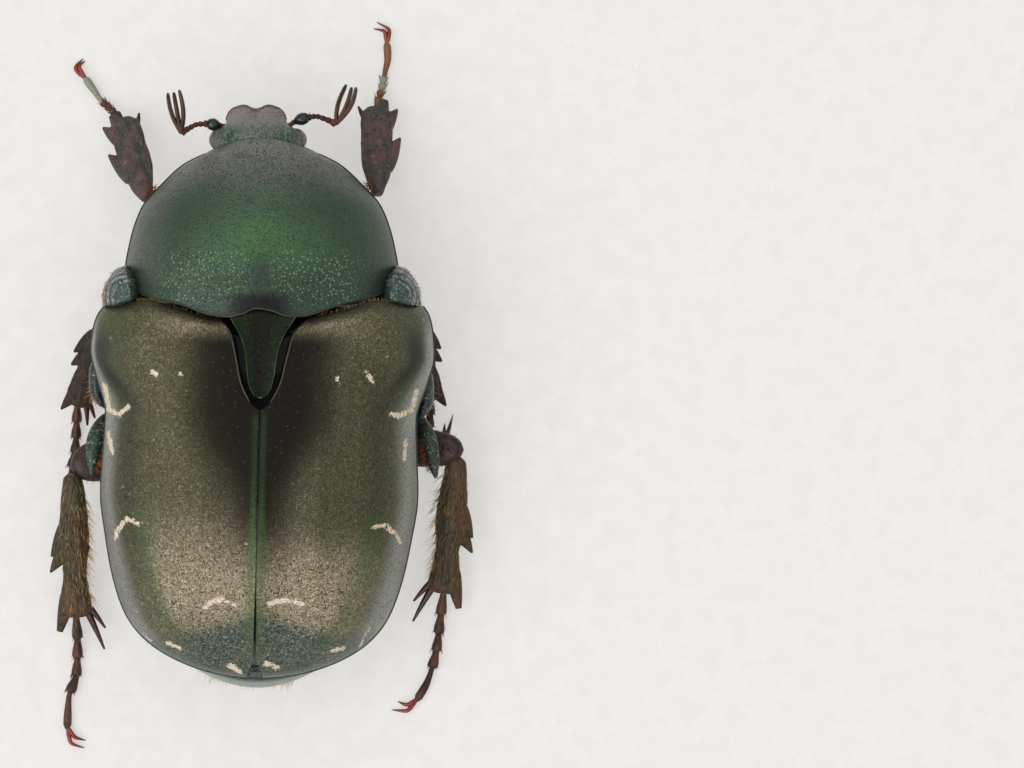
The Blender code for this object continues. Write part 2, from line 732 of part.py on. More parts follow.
def eye(side, grow=0.0):
    return ball(eye_centre(side), np.add(EYE_RADII, grow))


def antenna(side_name):
    made = ANTENNAE[side_name]
    root, scape, funicle = made["root"], made["scape"], made["funicle"]
    bulb = limb([root, scape, funicle[1]], SCAPE_SECTIONS, 8)
    stalk = spline(funicle, 8)
    radii = np.where(np.arange(8) % 2, FUNICLE_RADIUS, FUNICLE_RADIUS * 1.15)
    pieces = [bulb, loft(tube(stalk, radii, radii, 6))]
    base = np.asarray(funicle[-1], float)
    for tip in made["tips"]:
        lean = unit(np.subtract(tip, base))
        path = base + lean * -0.12 + np.outer(np.linspace(0, 1, 6), np.subtract(tip, base) + 0.12 * lean)
        bow = np.sin(np.linspace(0, math.pi, 6))[:, None] * (0.0, 0.10, 0.0)
        widths = LEAF_HALF_WIDTH * np.array([0.6, 0.8, 1.0, 1.0, 0.75, 0.25])
        thicks = LEAF_HALF_THICKNESS * np.array([1.3, 1.1, 1.0, 1.0, 0.8, 0.4])
        pieces.append(loft(tube(path + bow, thicks, widths, 6)))
    return pieces


def knob():
    sizes = np.asarray(STERNAL_KNOB)
    path = np.column_stack([np.zeros(len(sizes)), sizes[:, 0], np.full(len(sizes), STERNAL_KNOB_HEIGHT)])
    return loft(tube(path, sizes[:, 1], sizes[:, 2], 10))


def thorax():
    return loft(trunk(spline(THORAX, 19), 16, ELYTRA_FLATNESS, fullness=1.0))


def abdomen():
    """Loft whose belly steps inward behind each plate's end."""
    ends = (ABDOMEN[0][0],) + STERNITE_ENDS + (ABDOMEN[-1][0],)
    places = []
    for start, end in zip(ends, ends[1:]):
        places += [start + 0.03, (start + end) / 2, end - 0.03]
    table = curve(ABDOMEN, places)
    rows = []
    for y, (half_top, top, edge, half_low, low) in zip(places, table):
        start = max(e for e in ends if e <= y)
        end = min(e for e in ends if e > y)
        behind = (end - y) / (end - start) if y > STERNITE_ENDS[0] else 0
        forward = 0.45 * window(y, 9.9, 20, 0.8)
        step = STERNITE_STEP * behind
        rows.append((y, y - forward, y, half_top, top, edge, half_low - step / 2, low + step))
    return loft(trunk(rows, 16, ELYTRA_FLATNESS))


def pygidium():
    share = np.linspace(-1, 1, 13)
    rings = []
    for z, y, half, lag in spline(PYGIDIUM, 9):
        arc = y - lag * share**2
        outer = np.column_stack([half * share, arc, np.full(13, z)])
        inner = np.column_stack([0.94 * half * share, arc - PYGIDIUM_THICKNESS, np.full(13, z)])
        rings.append(np.vstack([outer, inner[::-1]]))
    return loft(rings)


def scutellum():
    rows = [
        (y, y, y, half, z, z - 0.12, 0.8 * half, z - SCUTELLUM_THICKNESS)
        for y, half, z in spline(SCUTELLUM, 11)
    ]
    return loft(trunk(rows, 6, 1.0, ledge=0.1))


def shoulder(side):
    outline = spline(SHOULDER_OUTLINE + SHOULDER_OUTLINE[:1], 15)[:-1]
    corner = np.array(SHOULDER_CORNER)
    rings = []
    for z, across, along in spline(SHOULDER_LEVELS, 9):
        plan = corner + (outline - corner) * (across, along)
        rings.append(np.column_stack([plan, np.full(len(plan), z)]))
    return loft(mirrored(rings, side))


def coxa(name):
    return limb(LEGS[name]["coxa"], COXA_SECTIONS[name.split("_")[0]], 8)


def femur(name):
    return limb(LEGS[name]["femur"], FEMUR_SECTIONS[name.split("_")[0]], 10)


def tibia_root(name):
    """The tibia starts clear of the femur's end, on the outside of the knee."""
    leg = LEGS[name]
    knee = np.asarray(leg["femur"][-1], float)
    bend = unit(unit(knee - leg["femur"][-2]) + unit(np.subtract(leg["ankle"], knee)))
    return knee + bend * KNEE_REACH


def tibia(name):
    kind = name.split("_")[0]
    root, ankle = tibia_root(name), np.asarray(LEGS[name]["ankle"], float)
    along = ankle - root
    out = unit(np.cross(along, (0, 0, 1)))
    out *= np.sign(out[0]) * np.sign(root[0])
    pieces = [limb([root, (root + ankle) / 2 + (0, 0, 0.08), ankle], TIBIA_SECTIONS[kind], 8)]
    for (start, start_out), (end, end_out), width in TIBIA_SPINES[kind]:
        base = root + along * start + out * start_out
        tip = root + along * end + out * end_out
        base[2] = max(base[2], SPINE_ROOT_HEIGHT)
        tip[2] = max(tip[2], SPINE_TIP_HEIGHT)
        pieces.append(spine(base, tip, width))
    return pieces


def foot(name):
    """Five joints that widen towards their ends, flat where they meet the floor, and two claws."""
    leg = LEGS[name]
    ankle = np.asarray(leg["ankle"], float)
    first = np.asarray(leg["foot"][0], float)
    start = ankle + unit(first - ankle) * ANKLE_GAP - (0, 0, ANKLE_DROP)
    line = spline([start] + leg["foot"], 41)
    gone = np.concatenate([[0], np.cumsum(np.linalg.norm(np.diff(line, axis=0), axis=1))])
    gone /= gone[-1]
    stops, radii = [], []
    for begin, end in zip(FOOT_SHARES, FOOT_SHARES[1:]):
        for share, radius in FOOT_SECTIONS:
            stops.append(begin + 0.02 + (end - begin - 0.02) * share)
            radii.append(radius)
    stops.append(1.0)
    radii.append(FOOT_END_RADIUS)
    path = np.column_stack([np.interp(stops, gone, line[:, axis]) for axis in range(3)])
    pieces = [loft(tube(path, radii, radii, 8))]
    end = path[-1]
    for bend, tip in leg["claws"]:
        sunk = end - unit(end - path[-2]) * 0.12
        pieces.append(limb([sunk, (*bend, FOOT_HEIGHT - 0.02), (*tip, CLAW_TIP_HEIGHT)], CLAW_SECTIONS, 5))
    return pieces


def build():
    for old in list(bpy.data.objects):
        bpy.data.objects.remove(old)
    beetle = empty("beetle", (0.0, 0.0, 0.0))
    rear = empty("rear_body", REAR_PIVOT, beetle, REAR_TURN)

    node("pronotum", [prothorax()], "pronotum", (0, -6, 3), beetle)
    sockets = [eye(1, EYE_CLEARANCE), eye(-1, EYE_CLEARANCE)]
    node("head", head(), "head", (HEAD_SHIFT, -8.75, 3.8), beetle, sockets)
    for side, label in ((1, "left"), (-1, "right")):
        node(f"eye_{label}", [eye(side)], "eye", eye_centre(side), beetle)
        node(f"antenna_{label}", antenna(label), "antenna", ANTENNAE[label]["root"], beetle)
        node(f"shoulder_{label}", [shoulder(side)], "shoulder", (side * 5.0, -3.3, 4.7), beetle)
        node(f"elytron_{label}", [elytron(side)], "elytra", (side * SUTURE_HALF_GAP, 0.9, 8.0), rear)
    node("scutellum", [scutellum()], "pronotum", (0, -1, 7.5), rear)
    node("thorax", [thorax(), knob()], "underside", (0, -1, 3.8), rear)
    node("abdomen", [abdomen()], "underside", (0, 6, 3.8), rear)
    node("pygidium", [pygidium()], "underside", (0, 10.9, 3.3), rear)
    for name, leg in LEGS.items():
        node(f"coxa_{name}", [coxa(name)], "underside", leg["coxa"][0], beetle)
        node(f"femur_{name}", [femur(name)], "leg", leg["femur"][0], beetle)
        node(f"tibia_{name}", tibia(name), "leg", tibia_root(name), beetle)
        node(f"foot_{name}", foot(name), "foot", leg["ankle"], beetle)


build()
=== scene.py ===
# A flower chafer beetle at life size, set on pale paper and looked at from straight above.
# Lengths are in millimetres until makePiece. -Y is ahead, +X is the beetle's left and z = 0 is
# the floor. Everything rides on the one body, root, because the beetle is a still model.
import math

import bpy
import numpy as np
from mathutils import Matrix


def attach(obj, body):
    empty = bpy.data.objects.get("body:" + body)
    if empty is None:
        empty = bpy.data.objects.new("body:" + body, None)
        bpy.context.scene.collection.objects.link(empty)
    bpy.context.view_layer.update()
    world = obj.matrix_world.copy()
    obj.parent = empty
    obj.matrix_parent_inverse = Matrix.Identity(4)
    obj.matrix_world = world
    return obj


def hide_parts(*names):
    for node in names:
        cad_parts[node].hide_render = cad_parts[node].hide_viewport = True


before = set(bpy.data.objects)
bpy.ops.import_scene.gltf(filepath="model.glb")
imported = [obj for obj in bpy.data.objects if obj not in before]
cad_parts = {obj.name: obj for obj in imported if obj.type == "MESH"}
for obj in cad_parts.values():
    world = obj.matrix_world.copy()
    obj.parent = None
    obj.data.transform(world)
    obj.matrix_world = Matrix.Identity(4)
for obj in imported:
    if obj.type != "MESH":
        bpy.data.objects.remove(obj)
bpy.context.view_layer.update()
mm = 0.001
sharpAngle = math.radians(50)  # edges sharper than this stay sharp
sideOf = {"left": 1, "right": -1}
# Gloss values of a look, and the shader's names for them.
glossSockets = {
    "metallic": "Metallic", "roughness": "Roughness", "coat": "Coat Weight",
    "coatRoughness": "Coat Roughness", "specular": "Specular IOR Level",
}


def paint(colour):  # picture values 0-255 to the linear colour that shaders take
    return tuple((value / 255) ** 2.2 for value in colour) + (1.0,)


# Smooth curve through a table whose first column is the place along it. Each span is a cubic
# whose end slopes are the harmonic mean of the slopes beside it, so it never overshoots.
def curveThrough(table, at):
    table, at = np.asarray(table, float), np.asarray(at, float)
    x, v = table[:, 0], table[:, 1:]
    secant = np.diff(v, axis=0) / np.diff(x)[:, None]
    before, after = secant[:-1], secant[1:]
    turning = before * after <= 0
    middle = np.where(turning, 0, 2 * before * after / np.where(turning, 1, before + after))
    slope = np.vstack([secant[:1], middle, secant[-1:]])
    i = np.clip(np.searchsorted(x, at, side="right") - 1, 0, len(x) - 2)
    span = (x[i + 1] - x[i])[:, None]
    f = (at - x[i])[:, None] / span
    return (
        (1 + 2 * f) * (1 - f) ** 2 * v[i]
        + f * (1 - f) ** 2 * span * slope[i]
        + f * f * (3 - 2 * f) * v[i + 1]
        + f * f * (f - 1) * span * slope[i + 1]
    )


# The same curve through bare points, read at count even steps of their numbering.
def curveLine(points, count):
    points = np.asarray(points, float)
    numbered = np.column_stack([np.arange(len(points)), points])
    return curveThrough(numbered, np.linspace(0, len(points) - 1, count))


# Vectors divided by their length.
def unit(vectors):
    vectors = np.asarray(vectors, float)
    return vectors / np.maximum(np.linalg.norm(vectors, axis=-1, keepdims=True), 1e-9)


def bell(x, centre, width):  # 1 at the centre, falling like a bell curve
    return np.exp(-(((x - centre) / width) ** 2))


def ramp(x, low, high):  # 0 at low to 1 at high with soft ends
    f = np.clip((x - low) / (high - low), 0, 1)
    return f * f * (3 - 2 * f)


def window(x, low, high, soft):  # 1 between low and high, 0 the distance soft outside them
    return ramp(x, low - soft, low) * (1 - ramp(x, high, high + soft))


# Unevenness between -1 and 1: the mean of eight sine waves in directions drawn from the seed.
def ripple(points, perMm, seed):
    draw = np.random.default_rng(seed)
    waves = unit(draw.normal(size=(8, 3))) * perMm * draw.uniform(3.5, 8, (8, 1))
    phase = draw.uniform(0, 2 * math.pi, 8)
    return np.sin(np.asarray(points) @ waves.T + phase).mean(-1) * 1.6


# Quads of a grid of points, with the last column joined to the first where it wraps.
def gridQuads(rows, columns, wrap=False):
    i, j = np.meshgrid(np.arange(rows - 1), np.arange(columns - (not wrap)), indexing="ij")
    k = (j + 1) % columns
    corners = [i * columns + j, i * columns + k, (i + 1) * columns + k, (i + 1) * columns + j]
    return np.stack(corners, -1).reshape(-1, 4)


# Turns a closed part's faces outward: its volume, summed over corner triangles, must be positive.
def outward(part):
    p, quads = part["points"], part["quads"]
    tris = np.vstack([part["tris"], quads[:, :3], quads[:, [0, 2, 3]]])
    if np.linalg.det(p[tris] - p.mean(0)).sum() < 0:
        part["quads"], part["tris"] = quads[:, ::-1], part["tris"][:, ::-1]
    return part


# Closed body through rings of equal size, with one point in the middle of each end.
def closedTube(rings, **values):
    count, sides, _ = rings.shape
    last = (count - 1) * sides
    j = np.arange(sides)
    k = (j + 1) % sides
    middle = np.full(sides, count * sides)
    tris = np.vstack([np.stack([middle, k, j], -1), np.stack([middle + 1, last + j, last + k], -1)])
    part = {
        "points": np.vstack([rings.reshape(-1, 3), rings[0].mean(0), rings[-1].mean(0)]),
        "quads": gridQuads(count, sides, True),
        "tris": tris,
    }
    for name, grid in values.items():
        part[name] = np.concatenate([grid.ravel(), [grid[0].mean(), grid[-1].mean()]])
    return outward(part)


# Closed plate between an outer and an inner grid, joined round their rims.
def plate(outer, inner, **values):
    rows, columns, _ = outer.shape
    index = np.arange(rows * columns).reshape(rows, columns)
    rim = np.concatenate([index[0, :-1], index[:-1, -1], index[-1, :0:-1], index[:0:-1, 0]])
    after = np.roll(rim, -1)
    back = rows * columns
    front = gridQuads(rows, columns)
    edges = np.stack([after, rim, rim + back, after + back], -1)
    part = {
        "points": np.vstack([outer.reshape(-1, 3), inner.reshape(-1, 3)]),
        "quads": np.vstack([front, front[:, ::-1] + back, edges]),
        "tris": np.empty((0, 3), int),
    }
    for name, grid in values.items():
        part[name] = np.concatenate([grid.ravel(), grid.ravel()])
    return outward(part)


# Rings of oval section along a path. Each ring is across * cos + over * sin, and no point of it
# lies below the floor. grow scales the section by place along and angle round.
def tubeRings(path, halfWidths, halfThicks, sides, grow=None):
    path = np.asarray(path, float)
    ahead = unit(np.gradient(path, axis=0))
    across = unit(np.cross(ahead, (0.0, 0, 1)))
    over = np.cross(across, ahead)
    turn = (np.arange(sides) + 0.5) * 2 * math.pi / sides
    size = np.ones((len(path), sides))
    if grow:
        size = grow(np.linspace(0, 1, len(path))[:, None], turn)
    wide = (np.cos(turn) * np.broadcast_to(halfWidths, len(path))[:, None] * size)[..., None]
    thick = (np.sin(turn) * np.broadcast_to(halfThicks, len(path))[:, None] * size)[..., None]
    rings = path[:, None] + wide * across[:, None] + thick * over[:, None]
    rings[..., 2] = np.maximum(rings[..., 2], 0)
    return rings


# Oval rings along a smooth line through points, by rows of (share of its length, half-width,
# half-thickness). Shares over 1 run straight on past the last point.
def limbRings(points, sections, count, sides, grow=None):
    points, sections = np.asarray(points, float), np.asarray(sections, float)
    share = np.linspace(0, sections[-1, 0], count)
    numbered = np.column_stack([np.linspace(0, 1, len(points)), points])
    onLine = curveThrough(numbered, np.clip(share, 0, 1))
    beyond = np.clip(share - 1, 0, None)[:, None] * np.linalg.norm(points[-1] - points[0])
    sizes = curveThrough(sections, share)
    path = onLine + beyond * unit(points[-1] - points[-2])
    return tubeRings(path, sizes[:, 0], sizes[:, 1], sides, grow=grow)


# Curved taper: from a root sunk in what it grows on to a fine tip, bent by bend at its middle.
def horn(root, tip, width, bend, flat, point):
    t = np.linspace(0, 1, 12)
    path = np.outer(1 - t, root) + np.outer(t, tip) + np.outer(np.sin(math.pi * t), bend)
    size = point + (width - point) * (1 - t**1.5)
    return closedTube(tubeRings(path, size, size * flat, 14))


# Points with x times side, which is 1 on the left and -1 on the right.
def mirrored(points, side):
    return np.asarray(points, float) * (side, 1, 1)


# Closed ellipsoid of latitude rings: radii times (sin cos, sin sin, cos) of the two angles.
def ball(centre, radii):
    down = np.linspace(0.02, math.pi - 0.02, 30)[:, None]
    turn = np.arange(40) * 2 * math.pi / 40
    rings = [np.sin(down) * np.cos(turn), np.sin(down) * np.sin(turn), np.cos(down) + 0 * turn]
    return closedTube(np.stack(rings, -1) * radii + centre)


# Values of a grid read at shares u of its rows and v of its columns, mixed from four neighbours.
def readGrid(grid, u, v, wrap):
    rows, columns = grid.shape[:2]
    i = np.clip(u * (rows - 1), 0, rows - 1.001)
    j = v % 1 * columns if wrap else np.clip(v * (columns - 1), 0, columns - 1.001)
    a, b = i.astype(int), j.astype(int) % columns
    c, d = a + 1, (b + 1) % columns
    f, g = (i - a)[:, None], (j - np.floor(j))[:, None]
    return (grid[a, b] * (1 - g) + grid[a, d] * g) * (1 - f) + (grid[c, b] * (1 - g) + grid[c, d] * g) * f


# Directions out of a grid of rings: away from the middle of each ring.
def ringNormals(rings):
    return unit(rings - rings.mean(1, keepdims=True))


# One mesh object out of parts, in metres, riding on root. Values named on the parts, such as how
# pale a point is, become attributes of that name.
def makePiece(name, parts, material, nodes=()):
    starts = np.cumsum([0] + [len(part["points"]) for part in parts])
    points = np.concatenate([part["points"] for part in parts]) * mm
    faces = []
    for part, start in zip(parts, starts):
        faces += (part["quads"] + start).tolist() + (part["tris"] + start).tolist()
    mesh = bpy.data.meshes.new(name)
    mesh.from_pydata(points.tolist(), [], faces)
    for value in sorted({key for part in parts for key in part} - {"points", "quads", "tris", "uv"}):
        column = np.concatenate([part.get(value, np.zeros(len(part["points"]))) for part in parts])
        mesh.attributes.new(value, "FLOAT", "POINT").data.foreach_set("value", column)
    if "uv" in parts[0]:
        corner = np.empty(len(mesh.loops), int)
        mesh.loops.foreach_get("vertex_index", corner)
        places = np.concatenate([part["uv"] for part in parts])[corner]
        mesh.uv_layers.new(name="OFBake").data.foreach_set("uv", places.ravel())
    mesh.shade_smooth()
    mesh.set_sharp_from_angle(angle=sharpAngle)
    mesh.materials.append(material)
    piece = bpy.data.objects.new(name, mesh)
    bpy.context.scene.collection.objects.link(piece)
    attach(piece, "root")
    if nodes:
        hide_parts(*nodes)


# A material in the making. It takes the gloss values of its look, and colour is the colour so
# far. place is the place on the piece in millimetres, stretched by the look's stretch. Masks go
# from 0 to 1, and the pairs of numbers given to rise and dots are where a mask starts and ends.
class Mix:
    def __init__(self, name, look):
        self.material = bpy.data.materials.new(name)
        self.material.use_nodes = True
        self.tree = self.material.node_tree
        self.shader = self.tree.nodes["Principled BSDF"]
        for key, socket in glossSockets.items():
            if key in look:
                self.shader.inputs[socket].default_value = look[key]
        where = self.put("TexCoord").outputs["Object"]
        scale = tuple(value / mm for value in look.get("stretch", (1, 1, 1)))
        self.place = self.put("Mapping", {"Vector": where, "Scale": scale}).outputs[0]

    # One shader node, its sockets set to values or joined to other nodes' outputs.
    def put(self, kind, sockets={}, **settings):
        made = self.tree.nodes.new("ShaderNode" + kind)
        for key, value in settings.items():
            setattr(made, key, value)
        for key, value in sockets.items():
            if isinstance(value, bpy.types.NodeSocket):
                self.tree.links.new(value, made.inputs[key])
            else:
                made.inputs[key].default_value = value
        return made

    def calc(self, operation, *values):
        return self.put("Math", dict(enumerate(values)), operation=operation).outputs[0]

    def times(self, value, factor):
        return self.calc("MULTIPLY", value, factor)

    def line(self, value, slope, start):
        return self.calc("MULTIPLY_ADD", value, slope, start)

    def rest(self, value):  # what is left to 1
        return self.calc("SUBTRACT", 1.0, value)

    def rise(self, value, low, high):  # 0 at low to 1 at high with soft ends; low may be larger
        sockets = {"Value": value, "From Min": low, "From Max": high}
        return self.put("MapRange", sockets, interpolation_type="SMOOTHSTEP").outputs[0]

    def noise(self, scale, detail=3.0, roughness=0.55, distortion=0.0):
        sockets = {"Vector": self.place, "Scale": scale, "Detail": detail, "Roughness": roughness}
        return self.put("TexNoise", sockets | {"Distortion": distortion}).outputs[0]

    # Round dots about scattered points, perMm of them to the mm: 0 past the edge, 1 in the core,
    # both in shares of a cell.
    def dots(self, perMm, edge, core, feature="F1", output="Distance"):
        sockets = {"Vector": self.place, "Scale": perMm, "Randomness": 1.0}
        return self.rise(self.put("TexVoronoi", sockets, feature=feature).outputs[output], edge, core)

    def read(self, name):
        return self.put("Attribute", attribute_name=name).outputs["Fac"]

    def blend(self, share, *colours):
        first, second = (paint(one) if isinstance(one, tuple) else one for one in colours)
        return self.put("Mix", {0: share, 6: first, 7: second}, data_type="RGBA").outputs[2]

    def layer(self, share, over):  # lays a colour over the colour so far
        self.colour = self.blend(share, self.colour, over)

    # Joins the colour, the roughness, and bumps given as (height socket, depth in mm).
    def done(self, bumps=(), roughness=None):
        ends = {"Base Color": self.colour}
        for height, depth in bumps:
            sockets = {"Height": height, "Distance": depth * mm, "Strength": 1.0}
            sockets |= {"Normal": ends["Normal"]} if "Normal" in ends else {}
            ends["Normal"] = self.put("Bump", sockets).outputs[0]
        if roughness is not None:
            ends["Roughness"] = roughness
        for name, socket in ends.items():
            self.tree.links.new(socket, self.shader.inputs[name])
        return self.material


# Insect shell in one of two colours that drift into each other, with round pits whose middles are
# dark or pale, and fine wrinkles. Where above is set, another colour lies over it; on the thorax that is a
# painted shade.
def cuticle(name, look):
    mix = Mix(name, look)
    drift = mix.rise(mix.noise(look["drift"], 3, 0.6), 0.38, 0.64)
    mix.colour = mix.blend(drift, look["colour"], look["second"])
    some = mix.rise(mix.noise(look["pits"] * 0.35, 2), 0.40, 0.56)
    hollow = mix.dots(look["pits"], look["pitSize"], look["pitSize"] * 0.35, "SMOOTH_F1")
    hollow = mix.times(hollow, some)
    grain = mix.noise(look["grain"], 4, 0.65, 0.6)
    mix.layer(mix.times(hollow, look["pitDark"]), look["deep"])
    mix.layer(mix.rise(grain, 0.58, 0.80), look["light"])
    rough = mix.line(grain, look["roughSpread"], look["roughness"] - look["roughSpread"] / 2)
    if "above" in look:
        mix.layer(mix.read("above"), look["above"])
        rough = mix.calc("MAXIMUM", rough, mix.times(mix.read("above"), look["aboveRoughness"]))
    return mix.done([(grain, look["grainDepth"]), (mix.rest(hollow), look["pitDepth"])], rough)


# Hair: one of two colours by strand, darker at its root.
def hairFinish(name, look):
    mix = Mix(name, look)
    mix.colour = mix.blend(mix.read("strand"), look["colour"], look["second"])
    mix.colour = mix.blend(mix.rise(mix.read("along"), 0.0, 0.45), look["root"], mix.colour)
    mix.layer(mix.times(mix.rise(mix.noise(9.0, 2), 0.35, 0.75), 0.35), look["root"])
    return mix.done()


# Looks of the shell. Each look takes what it doesn't name from the look that it is like.
shellLooks = {
    "base": {
        "metallic": 0.35, "coat": 0.25, "coatRoughness": 0.25, "drift": 0.7, "pits": 4.5,
        "pitSize": 0.32, "pitDark": 0.6, "pitDepth": 0.03, "grain": 9.0, "grainDepth": 0.018,
        "roughness": 0.38, "roughSpread": 0.16,
    },
    "underside": {
        "like": "base", "colour": (22, 62, 48), "second": (14, 44, 36), "deep": (4, 14, 12),
        "light": (52, 104, 80), "metallic": 0.55, "coat": 0.6, "coatRoughness": 0.12, "roughness": 0.26,
    },
    # The thorax's above colour is a painted shade: near black and matte, on its top, hidden under the elytra
    # and seen in the slot beside the scutellum.
    "thorax": {"like": "underside", "above": (5, 6, 6), "aboveRoughness": 0.8, "coat": 0.15},
    "belly": {
        "like": "underside", "colour": (16, 50, 40), "second": (10, 32, 27), "light": (26, 66, 52),
        "pits": 2.4, "pitSize": 0.16, "grainDepth": 0.006, "roughness": 0.16, "roughSpread": 0.06,
        "coat": 0.8, "coatRoughness": 0.05,
    },
    "femur": {
        "like": "underside", "colour": (34, 58, 48), "second": (36, 40, 38), "light": (80, 104, 88),
        "roughness": 0.34,
    },
    "hindFemur": {
        "like": "femur", "colour": (62, 42, 36), "second": (36, 28, 28), "light": (118, 84, 66),
        "metallic": 0.1, "specular": 0.35, "coat": 0.1, "roughness": 0.36,
    },
    "tibia": {
        "like": "base", "colour": (80, 58, 38), "second": (56, 54, 34), "deep": (20, 13, 10),
        "light": (150, 122, 80), "metallic": 0.1, "specular": 0.3, "coat": 0.05, "drift": 1.4,
        "pits": 9.0, "pitSize": 0.36, "grainDepth": 0.04, "stretch": (1, 0.4, 1), "roughness": 0.42,
    },
    "middleTibia": {
        "like": "tibia", "colour": (62, 44, 32), "second": (42, 36, 28), "light": (118, 90, 58),
    },
    "frontTibia": {
        "like": "tibia", "colour": (92, 72, 68), "second": (62, 66, 54), "light": (150, 132, 112),
        "drift": 2.2, "pits": 12.0, "stretch": (1, 0.8, 1),
    },
    "tarsus": {
        "like": "tibia", "colour": (88, 58, 40), "second": (54, 38, 30), "light": (140, 102, 70),
        "pitDark": 0.4, "pitDepth": 0.02, "grainDepth": 0.015, "above": (142, 148, 128),
        "aboveRoughness": 0.45,
    },
    "palerTarsus": {
        "like": "tarsus", "colour": (134, 92, 60), "second": (98, 64, 42), "light": (172, 130, 88),
    },
    "claw": {
        "like": "tarsus", "colour": (132, 46, 30), "second": (96, 32, 22), "deep": (40, 14, 10),
        "light": (172, 84, 54), "above": (24, 10, 8), "coat": 0.6, "roughness": 0.25,
    },
    "spur": {
        "like": "tarsus", "colour": (70, 34, 26), "second": (40, 22, 18), "light": (116, 66, 48),
        "coat": 0.5, "roughness": 0.3,
    },
    "antenna": {
        "like": "tarsus", "colour": (92, 42, 28), "second": (62, 28, 20), "light": (128, 70, 48),
    },
    "club": {
        "like": "antenna", "colour": (84, 58, 42), "second": (54, 38, 30), "light": (132, 104, 74),
    },
    "scape": {"like": "underside", "colour": (30, 52, 38), "second": (22, 30, 26)},
    "coxa": {
        "like": "underside", "colour": (52, 66, 54), "second": (60, 60, 52), "deep": (130, 148, 120),
        "light": (140, 150, 126), "pits": 11.0, "pitSize": 0.48, "pitDepth": 0.02, "pitDark": 0.8,
        "grainDepth": 0.03, "coat": 0.15, "roughness": 0.40,
    },
    "sidePlate": {
        "like": "coxa", "colour": (44, 56, 52), "second": (52, 52, 52), "deep": (112, 124, 116),
    },
    "tail": {
        "like": "underside", "colour": (50, 62, 56), "second": (62, 66, 64), "light": (140, 144, 138),
        "pits": 8.0, "metallic": 0.3, "coat": 0.1, "above": (150, 159, 150), "aboveRoughness": 0.42,
    },
    "eye": {
        "like": "base", "colour": (128, 122, 122), "second": (98, 88, 88), "deep": (60, 44, 42),
        "light": (160, 154, 150), "pits": 14.0, "pitSize": 0.5, "pitDepth": 0.01, "grainDepth": 0.003,
        "coat": 0.7, "coatRoughness": 0.1,
    },
    "mouth": {
        "like": "base", "colour": (110, 48, 22), "second": (72, 30, 18), "deep": (34, 14, 10),
        "light": (160, 84, 44), "coat": 0.5,
    },
}
furLooks = {
    "gold": {
        "colour": (196, 164, 104), "second": (150, 112, 62), "root": (92, 66, 36), "roughness": 0.4,
        "specular": 0.4,
    },
    "orange": {
        "colour": (186, 108, 48), "second": (138, 72, 30), "root": (90, 46, 22), "roughness": 0.4,
        "specular": 0.4,
    },
    "cream": {
        "colour": (224, 206, 164), "second": (190, 164, 112), "root": (150, 122, 80), "roughness": 0.45,
        "specular": 0.4,
    },
    "dark": {
        "colour": (96, 62, 38), "second": (62, 38, 26), "root": (40, 24, 18), "roughness": 0.4,
        "specular": 0.4,
    },
}


def lookOf(name):  # a look's own values over those of the look that it is like
    own = shellLooks[name]
    return lookOf(own["like"]) | own if "like" in own else own


shells = {name: cuticle(name + "Shell", lookOf(name)) for name in shellLooks if name != "base"}
furs = {name: hairFinish(name + "Fur", look) for name, look in furLooks.items()}
print("finishes made")


# Rings of a body segment: a dome over a belly that meet at a side edge. A ring's angle runs from
# side to side; across = sin, lift = cos, and the dome's height is edge + (top - edge) lift^flatness.
# Rows hold y at the top, side and below, half-width and height of the dome, height of the edge,
# half-width and depth of the belly. bend moves a point along y by where it is.
def trunkRings(rows, count, steps, flatness, ledge=0.18, fullness=0.8, bend=None):
    angle = np.linspace(-math.pi / 2, math.pi / 2, steps + 1)
    across, lift = np.sin(angle), np.clip(np.cos(angle), 0, 1)
    columns = curveLine(rows, count).T[..., None]
    yTop, ySide, yLow, halfTop, top, edge, halfLow, low = columns
    x = halfTop * across
    y = ySide + (yTop - ySide) * lift**2
    if bend:
        y = y + bend(x, yTop)
    dome = np.stack([x, y, edge + (top - edge) * lift**flatness], -1)
    under = edge - ledge
    depth = under - (under - low) * lift**fullness
    belly = np.stack([halfLow * across, ySide + (yLow - ySide) * lift**2, depth], -1)
    return np.concatenate([dome, belly[:, ::-1]], 1)


# Tube of one radius along points, for a raised rim.
def bead(points, radius, count=120):
    path = curveLine(points, count)
    fromEnd = np.minimum(np.arange(count), np.arange(count)[::-1])
    taper = radius * np.clip(fromEnd / 4 + 0.3, 0, 1)
    return closedTube(tubeRings(path, taper, taper, 8))


pronotumShape = {
    "rows": [
        (-9.30, -8.75, -8.80, 2.08, 4.98, 3.45, 1.98, 2.80),
        (-8.85, -8.30, -8.40, 2.95, 5.72, 3.48, 2.85, 2.88),
        (-8.10, -7.60, -7.70, 3.72, 6.42, 3.50, 3.60, 2.95),
        (-7.00, -6.70, -6.80, 4.50, 7.08, 3.55, 4.36, 3.00),
        (-5.70, -5.40, -5.70, 4.95, 7.54, 3.60, 4.80, 3.02),
        (-4.30, -4.30, -5.00, 5.13, 7.78, 3.66, 4.94, 3.05),
        (-2.46, -3.66, -4.45, 5.05, 7.84, 3.80, 4.85, 3.15),
    ],
    "flatness": 0.80, "notchDepth": 0.44, "notchHalfWidth": 0.78, "baseSlant": (0.15, 3.05, 0.85),
    "socketDepth": 1.6, "socket": [(0.35, 1.0), (0.62, 0.9), (0.82, 0.6), (0.94, 0.25)],
    "rimRadius": 0.05,
}
